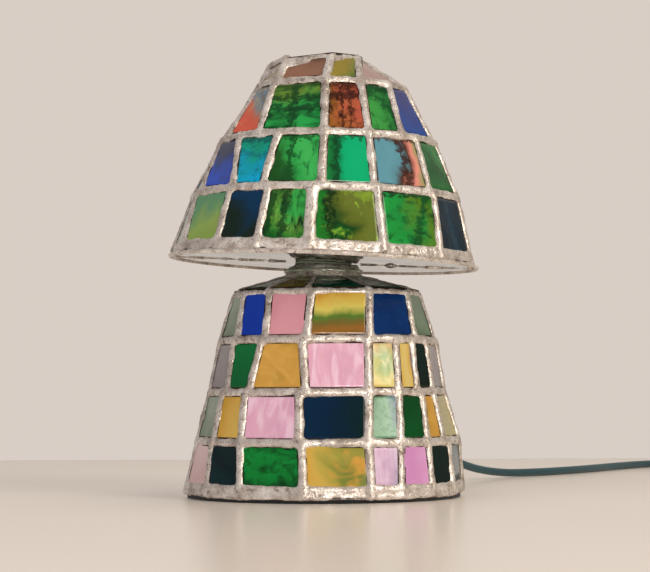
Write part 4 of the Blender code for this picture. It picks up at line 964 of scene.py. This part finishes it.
# The seat washer's felt is painted light: paler and greener than the foot's, to brighten it where the shade keeps it in
# shadow
seatFeltPaintedLight = woolFelt("paleWoolFelt", ("#8E9A86", "#AEB8A4", "#CCD2C0"))
floorGlass = clearPane("windowGlass", "#EAF2EC", 0.01)
bulbGlass = clearPane("sodaLimeBulb", "#F7FAF8", 0.0)
dress(steel, "bottom_plate", "plate_screw_1", "plate_screw_2", "plate_screw_3", "inner_washer",
      "switch_screw_1", "switch_screw_2", "rocker_pin")
dress(brass, "lamp_pipe", "pipe_nut", "plate_lug_1", "plate_lug_2", "plate_lug_3", "holder_shell",
      "holder_contact", "lead_bushing", "switch_contact")
dress(felt, "foot_pad")
dress(seatFeltPaintedLight, "seat_washer")
dress(floorGlass, "shade_floor_front", "shade_floor_back")
dress(bulbGlass, "bulb_glass", "bulb_stem")
dress(nickel, "bulb_cap", "bulb_contact", "plug_pin_1", "plug_pin_2")
dress(tungsten, "bulb_filament")
dress(blackMould, "holder_cap", "holder_sleeve", "switch_lower", "switch_upper", "plug_body")
dress(steatite, "holder_core")
dress(greyMould, "switch_rocker")
dress(solderFinish, "shade_rim_wire", "shade_hole_ring")
dress(reliefRubber, "inner_lead")


# Neck: solder puddled over the top of the cone

neck = {"voxel": 0.0005, "lump": 0.0016, "lumpSize": 0.0050, "ripple": 0.0005, "rippleSize": 0.0018}


def puddledNeck(look):
    piece = copyOfNode("neck_cap", "neck_solder")
    melt(piece, look["voxel"], ("neckLump", look["lumpSize"], look["lump"]),
         ("neckRipple", look["rippleSize"], look["ripple"]))
    # The cap's solder ran hotter than the seams': smoother. Its greener tins are a painted reflection of the cone's
    # green panes
    puddled = handRunSolder("puddledSolder", (0.08, 0.30), ("#9DAA92", "#C9D2BC", "#EEF0E2"))
    fit(piece, puddled, "base", ("neck_cap",), smooth=75)
    print("neck", len(piece.data.polygons), "faces")


puddledNeck(neck)


# Top pane of the shade

def topPane():
    piece = copyOfNode("shade_glass_cap", "shade_top_pane")
    editing(piece)
    bpy.ops.uv.smart_project()
    doneEditing()
    fit(piece, sheetGlass("smokeGreen"), "shade", ("shade_glass_cap",))


topPane()


# Strain relief, tie and what is on the lead

relief = {"length": 0.0280, "foot": 0.0048, "tip": 0.0040, "groove": 0.0008, "ribs": 7}
tie = {"angle": 20.0, "inner": 0.00865, "thick": 0.0007, "width": 0.0100}


def ribbedRelief(look):
    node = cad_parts["strain_relief"]
    spots = [node.matrix_world @ vertex.co for vertex in node.data.vertices]
    centre = sum(spots, Vector()) / len(spots)
    foot = centre + leadOut * min((spot - centre).dot(leadOut) for spot in spots)
    rib = (look["length"] - 0.008) / look["ribs"]
    profile = [(0.0030, 0.0), (look["foot"] - 0.0004, 0.0), (look["foot"], 0.0004), (look["foot"], 0.0036)]
    for count in range(look["ribs"]):
        at = 0.0040 + rib * count
        radius = look["foot"] + (look["tip"] - look["foot"]) * (count + 1) / look["ribs"]
        profile += [(radius - look["groove"], at + rib * 0.08), (radius - look["groove"], at + rib * 0.38),
                    (radius, at + rib * 0.50), (radius, at + rib * 0.98)]
    profile += [(look["tip"], look["length"] - 0.0006), (look["tip"] - 0.0005, look["length"]),
                (0.0030, look["length"])]
    place = Matrix.Translation(foot) @ leadOut.to_track_quat("Z", "Y").to_matrix().to_4x4()
    piece = turned("ribbed_strain_relief", profile, 28, place)
    return fit(piece, reliefRubber, "base", ("strain_relief",))


def strapTie(look):  # a hook and loop strap round all the turns, flat where it passes under them
    angle = math.radians(look["angle"])
    away = Vector((math.cos(angle), math.sin(angle), 0))
    height = lead["floor"] + lead["coilLift"] + lead["coilPitch"] * lead["layer"]
    middle = lead["coilCentre"] + away * lead["coilMajor"] + Vector((0, 0, height))
    half = look["width"] / 2
    outer = look["inner"] + look["thick"]
    profile = [(look["inner"], -half), (outer, -half), (outer, half), (look["inner"], half), (look["inner"], -half)]
    tangent = Vector((-away.y, away.x, 0))
    place = Matrix.Translation(middle) @ tangent.to_track_quat("Z", "Y").to_matrix().to_4x4()
    piece = turned("lead_tie", profile, 40, place, closed=True)
    for vertex in piece.data.vertices:
        fromMiddle = (vertex.co - middle) - tangent * (vertex.co - middle).dot(tangent)
        within = fromMiddle.length < (look["inner"] + outer) / 2
        vertex.co.z = max(vertex.co.z, 0.00085 if within else 0.00020)
    return fit(piece, felt, "base")


ribbedRelief(relief)
onLead.append(strapTie(tie))
onLead += [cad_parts[node] for node in
           ("switch_lower", "switch_upper", "switch_rocker", "switch_screw_1", "switch_screw_2",
            "switch_contact", "rocker_pin", "plug_body", "plug_pin_1", "plug_pin_2")]
print("lead declared", round(leadLength, 3))
